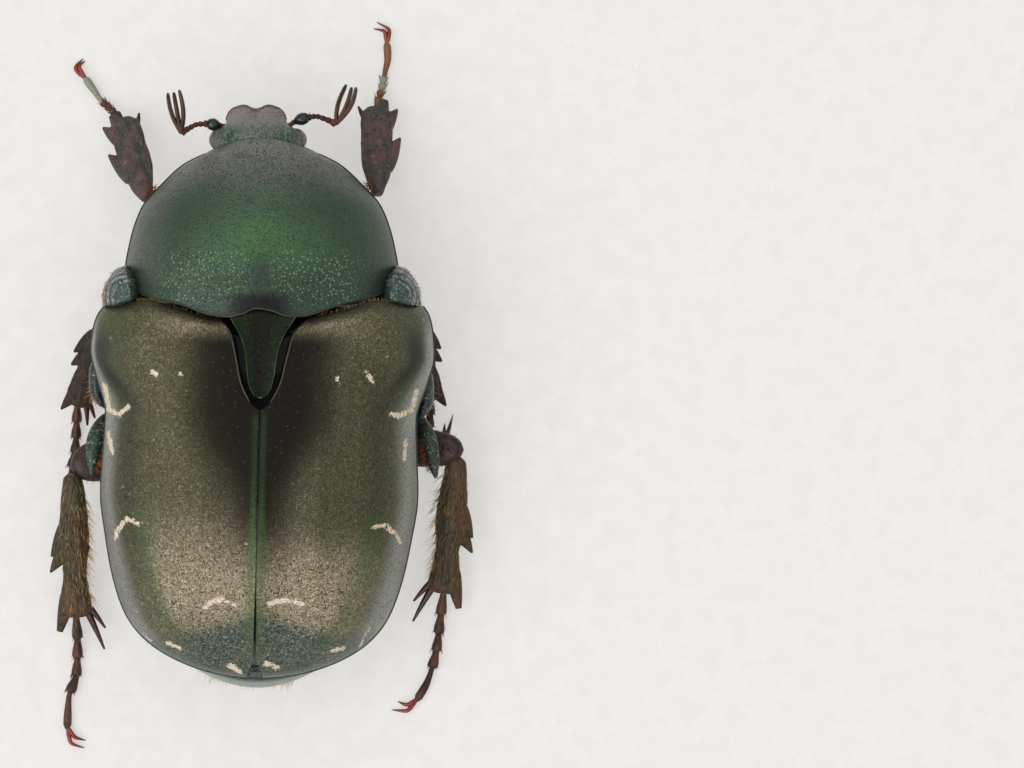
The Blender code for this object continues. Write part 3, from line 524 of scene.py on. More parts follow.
# The bright green is a painted highlight, the slate a painted pale reflection of the bright surroundings and
# the dusk a painted dark reflection.
pronotumLook = {
    "deepGreen": (62, 79, 67), "highlightGreen": (68, 100, 61), "slate": (122, 121, 117),
    "pit": (14, 24, 21), "dot": (132, 164, 122), "dusk": (12, 9, 14), "under": (16, 24, 24),
    "rim": (24, 28, 25), "seam": (72, 60, 54), "pitsToTheMm": 10.0, "dotsToTheMm": 7.8,
    "metallic": 0.55, "roughness": 0.44, "coat": 0.05, "coatRoughness": 0.30,
}


# Pronotum colour: a painted green highlight behind the middle, a painted pale slate reflection in front and
# at the sides with dark pits, pale dots along the base and a painted dark reflection before the scutellum.
def pronotumFinish(look):
    mix = Mix("pronotumShell", look)
    grain, patch = mix.noise(15.0, 3, 0.62, 0.5), mix.noise(0.7, 3, 0.6)
    glow = mix.times(mix.read("glow"), mix.rise(patch, 0.20, 0.62))
    mix.colour = mix.blend(glow, look["deepGreen"], look["highlightGreen"])
    slate = mix.times(mix.read("slate"), mix.rise(mix.noise(1.3, 3), 0.10, 0.55))
    mix.layer(slate, look["slate"])
    mix.layer(mix.times(mix.rise(grain, 0.53, 0.38), mix.line(slate, 0.45, 0.3)), look["pit"])
    pit = mix.dots(look["pitsToTheMm"], 0.42, 0.22)
    mix.layer(mix.times(pit, mix.line(slate, 0.12, 0.42)), look["pit"])
    some = mix.dots(look["dotsToTheMm"], 0.10, 0.18, output="Color")
    dot = mix.times(mix.times(mix.dots(look["dotsToTheMm"], 0.36, 0.19), some), mix.read("dots"))
    mix.layer(mix.times(dot, 0.72), look["dot"])
    for name in ("dusk", "under", "rim", "seam"):
        mix.layer(mix.read(name), look[name])
    return mix.done([(grain, 0.014), (mix.rest(mix.calc("MAXIMUM", pit, dot)), 0.012)])


def pronotumBend(x, yTop):  # the hollow in front of the scutellum
    depth, half = pronotumShape["notchDepth"], pronotumShape["notchHalfWidth"]
    slant, centre, width = pronotumShape["baseSlant"]
    forward = depth * bell(x, 0, half) + slant * bell(np.abs(x), centre, width)
    return -forward * window(yTop, -2.6, 0, 1.2)


# Pronotum: a hollow socket for the head, then the segment, whose colours lie by place (x, y), and
# beads round its edge.
def makePronotum():
    shape = pronotumShape
    rings = trunkRings(shape["rows"], 150, 110, shape["flatness"], bend=pronotumBend)
    front, socket = rings[:1], []
    middle = front.mean(1, keepdims=True)
    for share, depth in shape["socket"]:
        socket.append(middle + (front - middle) * share + (0, depth * shape["socketDepth"], 0))
    rings = np.concatenate(socket + [rings])
    x, y = rings[..., 0], rings[..., 1]
    away = np.abs(x)
    dome = np.zeros(rings.shape[:2])
    dome[len(socket):, : rings.shape[1] // 2] = 1
    spread = np.tile(np.abs(np.sin(np.linspace(-math.pi / 2, math.pi / 2, 111))), 2) + 0 * x
    # The painted dark reflection lies before the scutellum, along the middle and over the base, and dims the
    # painted highlight there; the painted slate reflection is stronger at the left side than the right.
    middleDarkReflection = 0.75 * bell(x, 0, 0.40) * ramp(y, -5.4, -4.2)
    atSides = (0.34 + 0.20 * np.sign(x)) * ramp(spread, 0.60, 0.97) * ramp(-y, 2.9, 4.6)
    spine = 0.40 * bell(x, 0, 0.5) * ramp(y, -5.2, -4.2)
    base = 0.26 * ramp(y, -4.9, -3.9) * (1 - ramp(away, 1.8, 3.2))
    dusk = np.exp(-((x / 1.3) ** 4)) * ramp(y, -3.85, -3.15)
    dusk = np.maximum(np.maximum(dusk, spine), base)
    values = {
        "glow": dome * np.exp(-((x / 3.3) ** 2) - ((y + 5.5) / 1.8) ** 2) * (1 - middleDarkReflection),
        "slate": dome * np.clip(1.1 * ramp(-y, 6.5, 9.3) + atSides, 0, 1),
        "dots": dome * window(y, -4.7, -3.30, 0.6) * ramp(away, 0.30, 0.55) * (1 - ramp(away, 3.0, 4.4)),
        "dusk": dome * dusk,
        "under": 1 - dome,
        "rim": dome * ramp(spread, 0.975, 1.0),
    }
    parts = [closedTube(rings, **values)]
    half = rings.shape[1] // 2
    for column in (0, half - 1):
        parts.append(bead(rings[len(socket):, column][::6], shape["rimRadius"]))
    parts.append(bead(rings[-1, :half][::4], 0.7 * shape["rimRadius"]))
    parts.append(bead(rings[len(socket), :half][::4] + (0, 0.02, -0.05), 0.8 * shape["rimRadius"]))
    for part, value, name in zip(parts[1:], (1.0, 1.0, 0.8, 0.4), ("rim", "rim", "seam", "rim")):
        part[name] = np.full(len(part["points"]), value)
    makePiece("pronotumShield", parts, pronotumFinish(pronotumLook), ["pronotum"])
    return rings[len(socket):]


pronotumRings = makePronotum()
print("pronotum made")

scutellumShape = {
    "rows": [
        (-3.00, 1.46, 7.62), (-2.66, 1.32, 7.74), (-2.37, 1.15, 7.82), (-1.85, 0.84, 7.93),
        (-1.50, 0.71, 7.99), (-1.15, 0.625, 8.04), (-0.50, 0.55, 8.10), (0.00, 0.46, 8.14),
        (0.25, 0.35, 8.16), (0.42, 0.21, 8.17), (0.50, 0.05, 8.17),
    ],
    "thickness": 0.5, "rimHeight": 0.03,
}
scutellumLook = {
    "side": (22, 34, 20), "middle": (24, 23, 16), "rim": (112, 120, 82), "pit": (8, 12, 8),
    "metallic": 0.6, "roughness": 0.42, "specular": 0.3,
}


# Scutellum colour: green at its sides, with dark pits, pale rims and a glint at its front edge.
def scutellumFinish(look):
    mix = Mix("scutellumShell", look)
    grain, pit = mix.noise(8.0, 4, 0.6, 0.3), mix.dots(6.5, 0.26, 0.10)
    mix.colour = mix.blend(mix.read("side"), look["middle"], look["side"])
    mix.layer(mix.times(mix.rise(grain, 0.5, 0.8), 0.12), look["rim"])
    mix.layer(mix.times(mix.dots(5.0, 0.26, 0.12), mix.read("glint")), look["rim"])
    mix.layer(mix.times(pit, 0.5), look["pit"])
    mix.layer(mix.read("rim"), look["rim"])
    return mix.done([(grain, 0.015), (mix.rest(pit), 0.02)])


# The rear body is turned about a point on the scutellum, as the insect holds it a little askew.
rearPivot = (0.0, 0.5)
rearTurn = math.radians(-1.4)


def rearTurned(points):  # points rotated about rearPivot by rearTurn, seen from above
    x, y, z = np.moveaxis(np.asarray(points, float), -1, 0)
    x, y = x - rearPivot[0], y - rearPivot[1]
    c, s = math.cos(rearTurn), math.sin(rearTurn)
    return np.stack([c * x - s * y + rearPivot[0], s * x + c * y + rearPivot[1], z], -1)


# Scutellum: a tongue whose surface is height - hollow + rim, over a share of its width.
def makeScutellum():
    shape = scutellumShape
    rows = curveLine(shape["rows"], 70)
    share = np.sin(np.linspace(-1, 1, 61) * math.pi / 2)
    y, half, height = rows[:, :1], rows[:, 1:2], rows[:, 2:]
    x = half * share
    lead = -0.10 * (1 - share**2) * window(y, -4, -2.7, 0.9)
    side = half * (1 - np.abs(share))
    edge = np.maximum(1 - ramp(side, 0.03, 0.07), ramp(y, 0.42, 0.47))
    top = height - 0.06 * (1 - share**2) + shape["rimHeight"] * edge - 0.10 * (1 - ramp(side, 0.0, 0.03))
    outer = np.stack([x, y + lead, top], -1)
    inner = outer * (0.9, 1, 1) - (0, 0, shape["thickness"])
    green = ramp(np.abs(share), 0.15, 0.8) + 0 * y
    rim = edge * ramp(side, 0.0, 0.02) * 0.7
    glint = (1 - ramp(y, -2.75, -2.35)) * ramp(np.abs(share), 0.1, 0.5) * 0.6
    part = plate(rearTurned(outer), rearTurned(inner), side=green, rim=rim, glint=glint)
    makePiece("scutellumPlate", [part], scutellumFinish(scutellumLook), ["scutellum"])


makeScutellum()
print("scutellum made")

elytraShape = {
    "rows": [
        (-2.94, 6.00, 7.75, 4.70), (-2.60, 6.24, 7.86, 4.45), (-2.00, 6.40, 7.98, 4.25),
        (-1.20, 6.46, 8.12, 4.15), (-0.10, 6.20, 8.26, 4.35), (1.20, 5.84, 8.36, 4.55),
        (2.60, 5.90, 8.40, 4.35), (4.10, 5.97, 8.33, 4.10), (5.85, 5.74, 8.05, 3.95),
        (7.40, 5.42, 7.55, 3.85), (8.75, 4.92, 6.88, 3.80), (9.65, 4.20, 6.25, 3.85),
        (10.35, 3.12, 5.50, 3.95), (10.80, 1.90, 4.95, 4.08), (10.98, 0.95, 4.68, 4.18),
        (11.03, 0.35, 4.58, 4.24),
    ],
    "flatness": 0.85, "edgeAngle": math.radians(88),
    "frontEdge": [
        (0, -2.75), (1.2, -2.62), (1.75, -2.56), (2.5, -2.71), (3.4, -2.95), (4.3, -3.20), (5.0, -3.14),
        (5.9, -3.00), (6.6, -2.88),
    ],
    "slot": [
        (-3.40, 2.40), (-2.75, 1.92), (-2.43, 1.58), (-1.92, 1.20), (-1.15, 0.99), (-0.12, 0.76),
        (0.40, 0.54), (0.62, 0.41), (0.84, 0.18), (0.94, 0.02),
    ],
    "sutureHalfGap": 0.02, "thickness": 0.35, "rimRadius": 0.05, "slotRimRadius": 0.035,
}
# Pale spots: lines of points (x, y) on each elytron with the half-width of each line.
paleSpots = {
    "left": [
        ([(5.90, 0.00), (5.72, 0.94), (5.32, 1.10), (4.95, 0.80)], 0.135),
        ([(5.76, 1.80), (5.60, 2.52)], 0.12),
        ([(4.52, 5.25), (5.04, 5.02), (5.42, 5.48), (5.46, 5.78)], 0.12),
        ([(2.10, 8.34), (1.76, 8.12), (1.50, 8.04)], 0.14),
        ([(1.50, 8.04), (1.08, 8.22), (0.92, 8.34)], 0.11), ([(4.74, 8.45), (4.70, 8.50)], 0.065),
        ([(4.44, 9.40), (4.16, 9.66)], 0.065), ([(3.53, 9.70), (3.05, 9.92)], 0.105),
        ([(1.60, 10.64), (1.56, 10.66)], 0.06), ([(1.19, 10.57), (0.81, 10.79)], 0.135),
        ([(4.06, -0.50), (3.94, -0.42)], 0.13), ([(3.00, -0.45), (2.96, -0.42)], 0.12),
    ],
    "right": [
        ([(-5.87, 0.22), (-5.68, 0.94), (-5.18, 1.17), (-4.92, 1.09)], 0.135),
        ([(-5.44, 2.08), (-5.42, 2.80)], 0.105),
        ([(-4.25, 5.32), (-4.66, 5.28), (-5.08, 5.62), (-5.23, 5.92)], 0.12),
        ([(-0.36, 8.20), (-0.96, 8.11)], 0.14), ([(-1.25, 8.11), (-1.60, 8.26)], 0.13),
        ([(-2.66, 10.02), (-3.10, 9.90)], 0.105), ([(-3.68, 9.92), (-4.10, 9.09)], 0.065),
        ([(-0.18, 10.49), (-0.64, 10.65)], 0.12), ([(-0.84, 10.75), (-0.88, 10.76)], 0.06),
        ([(-3.98, -0.50), (-4.22, -0.10)], 0.11), ([(-2.90, -0.30), (-2.88, -0.18)], 0.09),
    ],
}
# The slate is a painted pale reflection of the bright surroundings, the dark a painted dark reflection, and
# the bronze the shell's bronze tone with a painted reflection in it.
elytraLook = {
    "olive": (92, 90, 68), "bronze": (160, 145, 121), "rust": (92, 70, 48), "fleck": (206, 190, 162),
    "shade": (38, 36, 29), "dark": (34, 31, 26), "darkFleck": (84, 78, 58), "slate": (150, 151, 145),
    "band": (48, 46, 50), "green": (74, 104, 64), "glint": (74, 92, 66), "tail": (68, 86, 80),
    "tailShade": (36, 50, 46), "apex": (120, 128, 120), "spot": (238, 224, 200),
    "spotShade": (200, 178, 150), "rim": (70, 76, 76), "slotRim": (84, 82, 68), "under": (14, 16, 18),
    "wrinklesToTheMm": 12.0, "specular": 0.3,
}


# Height added to an elytron: shoulder and tail bumps, a hollow beside the suture, two faint ribs,
# a lift along the suture behind, and a fall at the front edge.
def elytraRelief(x, y, behind):
    lift = 0.22 * bell(x, 4.9, 0.8) * bell(y, -1.7, 0.9) + 0.20 * bell(x, 3.0, 0.8) * bell(y, 9.1, 0.7)
    lift = lift - 0.20 * bell(x, 1.2, 0.7) * window(y, 4.0, 8.6, 2.5)
    ribs = 0.05 * (bell(x, 2.3, 0.25) + bell(x, 3.9, 0.3)) * window(y, 1.0, 7.5, 2.0)
    suture = 0.10 * bell(x, 0, 0.32) * ramp(y, 2.5, 6.5) * (1 - ramp(y, 10.2, 11))
    return lift + ribs + suture - 0.55 * (1 - np.clip(behind / 0.45, 0, 1)) ** 2


# How far behind its row the front edge lies, so that it follows the pronotum on each side.
def baseLine(x, side):
    edge = curveThrough(elytraShape["frontEdge"], x.ravel())[:, 0].reshape(x.shape)
    return edge - elytraShape["rows"][0][0] - side * math.sin(rearTurn) * x


# Distance in mm from points (x, y) to the nearest of the lines, less each line's half-width.
def distanceToLines(x, y, lines):
    here = np.stack([x, y], -1)
    nearest = np.full(x.shape, 9.0)
    for corners, half in lines:
        for a, b in zip(np.array(corners), np.array(corners[1:])):
            along = np.clip(((here - a) @ (b - a)) / max((b - a) @ (b - a), 1e-6), 0, 1)
            away = np.linalg.norm(here - a - along[..., None] * (b - a), axis=-1)
            nearest = np.minimum(nearest, away - half)
    return nearest


# Elytra colour: olive shell with bronze wrinkles behind that carry a painted reflection, a painted dark
# reflection before and beside the scutellum, a painted pale slate reflection at the sides, green at the
# suture and a blue green tail, with pale uneven spots.
def elytraFinish(look):
    mix = Mix("elytraShell", look)
    wrinkle, grain = mix.noise(look["wrinklesToTheMm"], 3, 0.6, 1.6), mix.noise(16.0, 2, 0.5, 0.5)
    bronze = mix.read("bronze")
    mix.colour = mix.blend(bronze, look["olive"], look["bronze"])
    mix.layer(mix.times(mix.rise(mix.noise(0.5, 3, 0.6), 0.42, 0.7), 0.22), look["green"])
    mix.layer(mix.times(mix.rise(mix.noise(1.1, 4, 0.7), 0.50, 0.72), 0.35), look["rust"])
    shade = mix.times(mix.rise(wrinkle, 0.52, 0.40), mix.line(bronze, 0.35, 0.5))
    mix.layer(shade, look["shade"])
    mix.layer(mix.times(mix.rise(wrinkle, 0.54, 0.63), mix.line(bronze, 0.6, 0.22)), look["fleck"])
    glint = mix.times(mix.read("glint"), mix.rise(grain, 0.25, 0.6))
    mix.layer(mix.times(glint, 0.6), look["glint"])
    # Painted dark reflection over the front of the disc, dotted with the shell's own pale flecks.
    darkDot = mix.times(mix.dots(4.2, 0.20, 0.08), 0.5)
    mix.layer(mix.read("dark"), mix.blend(darkDot, look["dark"], look["darkFleck"]))
    mix.layer(mix.read("band"), look["band"])
    # Painted pale slate reflection on the margin, dotted with dark pits.
    dotted = mix.times(mix.dots(9.0, 0.42, 0.20), 0.7)
    mix.layer(mix.read("margin"), mix.blend(dotted, look["slate"], look["band"]))
    tail = mix.blend(shade, look["tail"], look["tailShade"])
    tail = mix.blend(mix.times(mix.rise(wrinkle, 0.54, 0.66), 0.55), tail, look["fleck"])
    mix.layer(mix.read("tail"), tail)
    mix.layer(mix.read("apex"), look["apex"])
    mix.layer(mix.times(mix.read("green"), mix.rise(grain, 0.2, 0.6)), look["green"])
    pale = mix.times(mix.dots(1.5, 0.10, 0.05), mix.rise(mix.noise(0.9, 1), 0.5, 0.6))
    mix.layer(mix.times(pale, 0.5), look["fleck"])
    mix.layer(mix.read("rim"), look["rim"])
    mix.layer(mix.read("under"), look["under"])
    spot = mix.rise(mix.line(mix.noise(6.0, 4, 0.75), 0.42, mix.read("spotAway")), 0.19, 0.155)
    mix.layer(spot, mix.blend(mix.rise(grain, 0.42, 0.62), look["spotShade"], look["spot"]))
    mix.layer(mix.read("slotRim"), look["slotRim"])
    rough = mix.line(mix.read("margin"), -0.08, mix.line(spot, 0.4, 0.42))
    mix.tree.links.new(mix.line(spot, -0.75, 0.75), mix.shader.inputs["Metallic"])
    return mix.done([(wrinkle, 0.035), (grain, 0.012), (spot, 0.03)], rough)


elytraShell = elytraFinish(elytraLook)


# Elytron: a quarter dome. Along each row the angle runs from the suture or slot to the side edge,
# x = half sin, z = edge + (top - edge) cos^flatness, and relief is added to z.
def makeElytron(label, side):
    shape = elytraShape
    rows = curveLine(shape["rows"], 210)
    share = np.linspace(0, 1, 110) ** 0.94
    y, half, top, edge = (rows[:, k : k + 1] for k in range(4))
    slot = np.array(shape["slot"])
    forward = window(y, -9, shape["rows"][0][0], 1.8)
    near = y + baseLine(np.full_like(y, 1.7), side) * forward
    inner = curveThrough(slot, near.ravel())
    gap = shape["sutureHalfGap"] + 0.03 * ramp(y, 7.0, 9.0) + 0.26 * ramp(y, 10.3, 11.03)
    inner = np.where(near > slot[-1, 0], gap, np.maximum(inner, gap))
    start = np.arcsin(np.minimum(inner / half, 0.9))
    angle = start + (shape["edgeAngle"] - start) * share
    x = half * np.sin(angle)
    z = edge + (top - edge) * np.cos(angle) ** shape["flatness"]
    behind = baseLine(x, side) * forward
    outer = np.stack([x, y + behind, z + elytraRelief(x, y, y - shape["rows"][0][0])], -1)
    normal = unit(np.cross(np.gradient(outer, axis=1), np.gradient(outer, axis=0)))
    normal *= np.sign(normal[..., 2].mean())
    under = outer - shape["thickness"] * normal
    under[..., 0] = np.maximum(under[..., 0], shape["sutureHalfGap"])
    outer, under = rearTurned(mirrored(outer, side)), rearTurned(mirrored(under, side))
    y = outer[..., 1]
    # The margin's painted pale slate reflection, wider on the right, a dark band inside it, and a painted
    # dark reflection that narrows behind.
    inside = half - x
    wide = 0.22 + 0.22 * (side < 0) + 0.46 * ramp(y, -1.0, 0.8) + 0.25 * ramp(y, 4.0, 8.0)
    band = 0.85 - (0.45 + 0.15 * (side < 0)) * ramp(y, -0.6, 1.2)
    darkHalf, darkPower = 2.95 - 1.6 * ramp(y, 0.8, 5.5), 6 - 4.2 * ramp(y, 1.0, 4.5)
    dark = np.exp(-((x / darkHalf) ** darkPower)) * ramp(y, -2.3, -1.5) * (1 - ramp(y, 4.5, 8.0))
    # On the right the painted dark reflection reaches further out over the disc.
    if label == "right":
        dark = np.maximum(dark, 0.28 * window(y, -0.5, 5.5, 1.5) * window(x, 1.0, 4.4, 0.8))
    values = {
        "margin": (1 - ramp(inside, 0.3 * wide, wide)) * ramp(y, -2.9, -1.6) * 0.9,
        "band": band * bell(inside, 1.5 * wide, 0.35) * window(y, -1.4, 9.2, 1.0),
        "dark": dark,
        # The bronze behind, the shell's own tone with a painted reflection in it, starts later on the right.
        "bronze": np.maximum(
            ramp(y, 4.0 + 0.8 * (side < 0), 7.8) * (1 - ramp(share, 0.45, 0.70)),
            0.45 * bell(x, 2.7, 1.0) * bell(y, -2.3, 0.45),
        ),
        "green": np.maximum(
            bell(x, 0.16, 0.09 + 0.13 * ramp(y, 4.0, 7.0))
            * (0.3 * ramp(y, 0.8, 1.4) + 0.4 * ramp(y, 3.0, 5.5))
            * (1 - 0.6 * ramp(y, 8.8, 10)),
            0.4 * bell(inside, 1.5, 0.4) * window(y, 5.5, 9.0, 1.5),
        ),
        "tail": ramp(y - 0.25 * np.minimum(x, 3.6), 8.2, 9.1) * 0.88,
        "apex": ramp(y, 10.75, 11.0) * 0.6,
        "glint": bell(inside, 0.65, 0.45) * window(y, -2.6, 1.5, 0.8),
        "rim": ramp(share, 0.985, 1.0) + 0 * x,
        "spotAway": distanceToLines(outer[..., 0], y, paleSpots[label]),
    }
    shell = plate(outer, under, **values)
    shell["under"] = np.repeat([0.0, 1.0], outer.shape[0] * outer.shape[1])
    parts = [shell, bead(outer[:, -1][::5], shape["rimRadius"], 240)]
    inSlot = outer[outer[:, 0, 1] < 0.8][:, 0]
    parts.append(bead(inSlot[::4], shape["slotRimRadius"]))
    parts[1]["rim"] = np.full(len(parts[1]["points"]), 0.9)
    # At the front, under the pronotum's base, the slot's bead takes the dark colour as a painted shade.
    behindBase = ramp(parts[2]["points"][:, 1], -2.3, -1.2)
    parts[2] |= {"slotRim": 0.9 * behindBase, "dark": 1 - behindBase}
    for part in parts[1:]:
        part["spotAway"] = np.full(len(part["points"]), 9.0)
    makePiece(f"elytron{label.title()}Shell", parts, elytraShell, [f"elytron_{label}"])
    return outer


elytronGrids = {label: makeElytron(label, side) for label, side in sideOf.items()}
print("elytra made")

headShape = {
    "shift": 0.14,
    "rows": [
        (-8.60, -8.60, -8.60, 1.46, 4.60, 3.85, 1.30, 2.98),
        (-9.10, -9.05, -9.05, 1.66, 4.78, 3.98, 1.40, 2.74),
        (-9.45, -9.36, -9.30, 1.62, 4.66, 3.94, 1.36, 2.62),
        (-9.78, -9.66, -9.65, 1.42, 4.36, 3.72, 1.20, 2.62),
        (-10.00, -9.88, -9.85, 1.17, 4.10, 3.54, 1.06, 2.68),
        (-10.26, -10.13, -10.08, 1.10, 3.82, 3.40, 0.98, 2.82),
        (-10.44, -10.31, -10.30, 1.01, 3.62, 3.34, 0.90, 2.98),
        (-10.53, -10.43, -10.42, 0.86, 3.50, 3.32, 0.76, 3.10),
    ],
    "frontShift": 0.07, "notch": (0.18, 0.26), "lobe": (0.06, 0.50, 0.30), "rimRadius": 0.035,
    "eyeCentre": (1.42, -9.26, 3.66), "eyeRadii": (0.43, 0.44, 0.47),
}
headLook = {
    "front": (128, 122, 118), "back": (108, 112, 106), "green": (96, 170, 74),
    "deepGreen": (38, 66, 42), "pit": (16, 18, 16), "rim": (112, 76, 52), "under": (60, 34, 24),
    "metallic": 0.2, "roughness": 0.5, "coat": 0.15,
}


# Head colour: grey with dark pits, paler in front, green specks over the eyes and a brown rim.
def headFinish(look):
    mix = Mix("headShell", look)
    grain, front = mix.noise(9.0, 4, 0.65, 0.4), mix.read("front")
    mix.colour = mix.blend(front, look["back"], look["front"])
    pit = mix.dots(13.0, 0.46, 0.22)
    mix.layer(mix.times(pit, mix.line(front, -0.65, 0.75)), look["pit"])
    green = mix.times(mix.read("green"), mix.rise(mix.noise(4.0, 3), 0.34, 0.54))
    mix.layer(green, mix.blend(mix.dots(14.0, 0.36, 0.18), look["deepGreen"], look["green"]))
    mix.layer(mix.read("under"), look["under"])
    mix.layer(mix.read("rim"), look["rim"])
    return mix.done([(grain, 0.02), (mix.rest(pit), 0.03)])


def headBend(x, yTop):  # two round lobes in front with a notch between them
    depth, half = headShape["notch"]
    lift, centre, width = headShape["lobe"]
    lobes = lift * bell(np.abs(x), centre, width)
    return ramp(-yTop, 9.9, 10.4) * (depth * bell(x, 0, half) - lobes)


# Head: a segment with a ridge, a raised front margin and a bead round it, and an eye on each side.
def makeHead():
    shape = headShape
    rings = trunkRings(shape["rows"], 90, 90, 0.8, ledge=0.08, bend=headBend)
    x, y = rings[..., 0], rings[..., 1]
    half = rings.shape[1] // 2
    dome = np.zeros(rings.shape[:2])
    dome[:, :half] = 1
    # A ridge runs from the front corners back over the eyes, and the front margin turns up.
    ridge = 0.10 * bell(np.abs(x), 1.22, 0.12) * window(y, -9.9, -9.3, 0.4)
    lip = 0.10 * ramp(-y, 10.12, 10.4)
    middle = 0.05 * bell(x, 0, 0.35) * window(y, -9.9, -9.0, 0.5)
    rings[..., 2] += dome * (ridge + lip + middle)
    values = {
        "front": dome * ramp(-y, 9.70, 10.02),
        "green": dome * (0.25 + 0.75 * bell(np.abs(x), 1.05, 0.38)) * window(y, -9.62, -9.20, 0.20) * 0.9,
        "under": 1 - dome,
    }
    rings = rings + (shape["shift"], 0, 0)
    rings[..., 0] += shape["frontShift"] * ramp(-rings[..., 1], 9.5, 10.1)
    parts = [closedTube(rings, **values)]
    front = rings[-1, 6 : half - 6]
    right, left = (rings[-34:-1, column] for column in (1, half - 2))
    edge = np.concatenate([right[::4], front[::4], left[::-4]])
    parts.append(bead(edge + (0, -0.01, 0.02), shape["rimRadius"], 160))
    parts[1]["rim"] = np.full(len(parts[1]["points"]), 0.9)
    makePiece("headCapsule", parts, headFinish(headLook), ["head"])
    for label, side in sideOf.items():
        centre = mirrored(shape["eyeCentre"], side) + (shape["shift"], 0, 0)
        eye = ball(centre, shape["eyeRadii"])
        makePiece(f"eye{label.title()}Ball", [eye], shells["eye"], [f"eye_{label}"])


makeHead()

mouthShape = {
    "chin": [(0, -8.95, 2.72), (0, -9.50, 2.50), (0, -9.92, 2.60)],
    "chinSections": [(0, 0.36, 0.14), (0.3, 0.58, 0.18), (0.8, 0.60, 0.16), (1.0, 0.34, 0.10)],
    "palp": [(0.52, -9.70, 2.68), (0.80, -9.90, 2.44), (0.86, -10.12, 2.44), (0.80, -10.24, 2.54)],
    "palpSections": [
        (0, 0.08, 0.08), (0.3, 0.12, 0.12), (0.34, 0.08, 0.08), (0.6, 0.12, 0.12), (0.64, 0.08, 0.08),
        (0.85, 0.16, 0.13), (1.0, 0.06, 0.05),
    ],
    "jaw": [(0.72, -9.30, 2.72), (0.86, -9.72, 2.62), (0.70, -10.08, 2.78)],
    "jawSections": [(0, 0.16, 0.14), (0.4, 0.24, 0.18), (0.8, 0.20, 0.14), (1.0, 0.06, 0.05)],
}


# Mouth: a chin plate, and on each side a jaw and a feeler with three joints, each a limb.
def makeMouth():
    shape, move = mouthShape, (headShape["shift"], 0, 0)
    chin = closedTube(limbRings(shape["chin"], shape["chinSections"], 30, 24) + move)
    makePiece("chinPlate", [chin], shells["underside"])
    parts = []
    for side in sideOf.values():
        for name in ("palp", "jaw"):
            line = mirrored(shape[name], side) + move
            parts.append(closedTube(limbRings(line, shape[name + "Sections"], 40, 14)))
    makePiece("mouthParts", parts, shells["mouth"])


makeMouth()
print("head made")

antennaShape = {
    "stalk": [(0, 0.11, 0.11), (0.6, 0.09, 0.09), (1.0, 0.12, 0.12)],
    "bulb": [
        (0, 0.09, 0.09), (0.10, 0.15, 0.15), (0.45, 0.24, 0.23), (0.8, 0.20, 0.19), (1.0, 0.11, 0.11),
    ],
    "jointShares": (0.0, 0.13, 0.30, 0.46, 0.62, 0.80, 1.0),
    "jointRadii": (0.14, 0.11, 0.105, 0.11, 0.12, 0.15), "leafHalfWidth": 0.20,
    "leafHalfThickness": 0.09,
}
# The points of each antenna, then for each leaf of its club the tip and how far its middle bows.
antennae = {
    "left": {
        "root": (1.34, -9.76, 3.60),
        "bulb": [(1.58, -9.80, 3.63), (1.84, -9.84, 3.66), (2.08, -9.87, 3.68)],
        "funicle": [(2.02, -9.87, 3.68), (2.42, -9.84, 3.72), (2.76, -9.68, 3.76), (3.04, -9.52, 3.80)],
        "leaves": [
            ((3.55, -11.02, 3.30), 0.10), ((3.32, -11.05, 3.86), 0.0), ((3.10, -11.12, 4.42), -0.12),
        ],
    },
    "right": {
        "root": (-1.02, -9.78, 3.60),
        "bulb": [(-1.24, -9.94, 3.63), (-1.54, -10.05, 3.66), (-1.80, -10.12, 3.68)],
        "funicle": [
            (-1.76, -10.11, 3.68), (-2.05, -10.14, 3.72), (-2.45, -10.02, 3.76), (-2.82, -9.86, 3.80),
        ],
        "leaves": [
            ((-3.19, -11.34, 3.30), 0.13), ((-3.40, -11.24, 3.86), -0.08),
            ((-3.57, -11.22, 4.42), -0.16),
        ],
    },
}


# Bell-shaped joints along a line: each joint's radius swells from a neck to near its end.
def jointRadii(place, shares, sizes, neck):
    k = np.clip(np.searchsorted(shares, place, side="right") - 1, 0, len(sizes) - 1)
    shares, sizes = np.asarray(shares), np.asarray(sizes)
    within = (place - shares[k]) / (shares[k + 1] - shares[k])
    return sizes[k] * (neck + (1 - neck) * ramp(within, 0.0, 0.75)) * (1 - 0.45 * ramp(within, 0.86, 1.0))


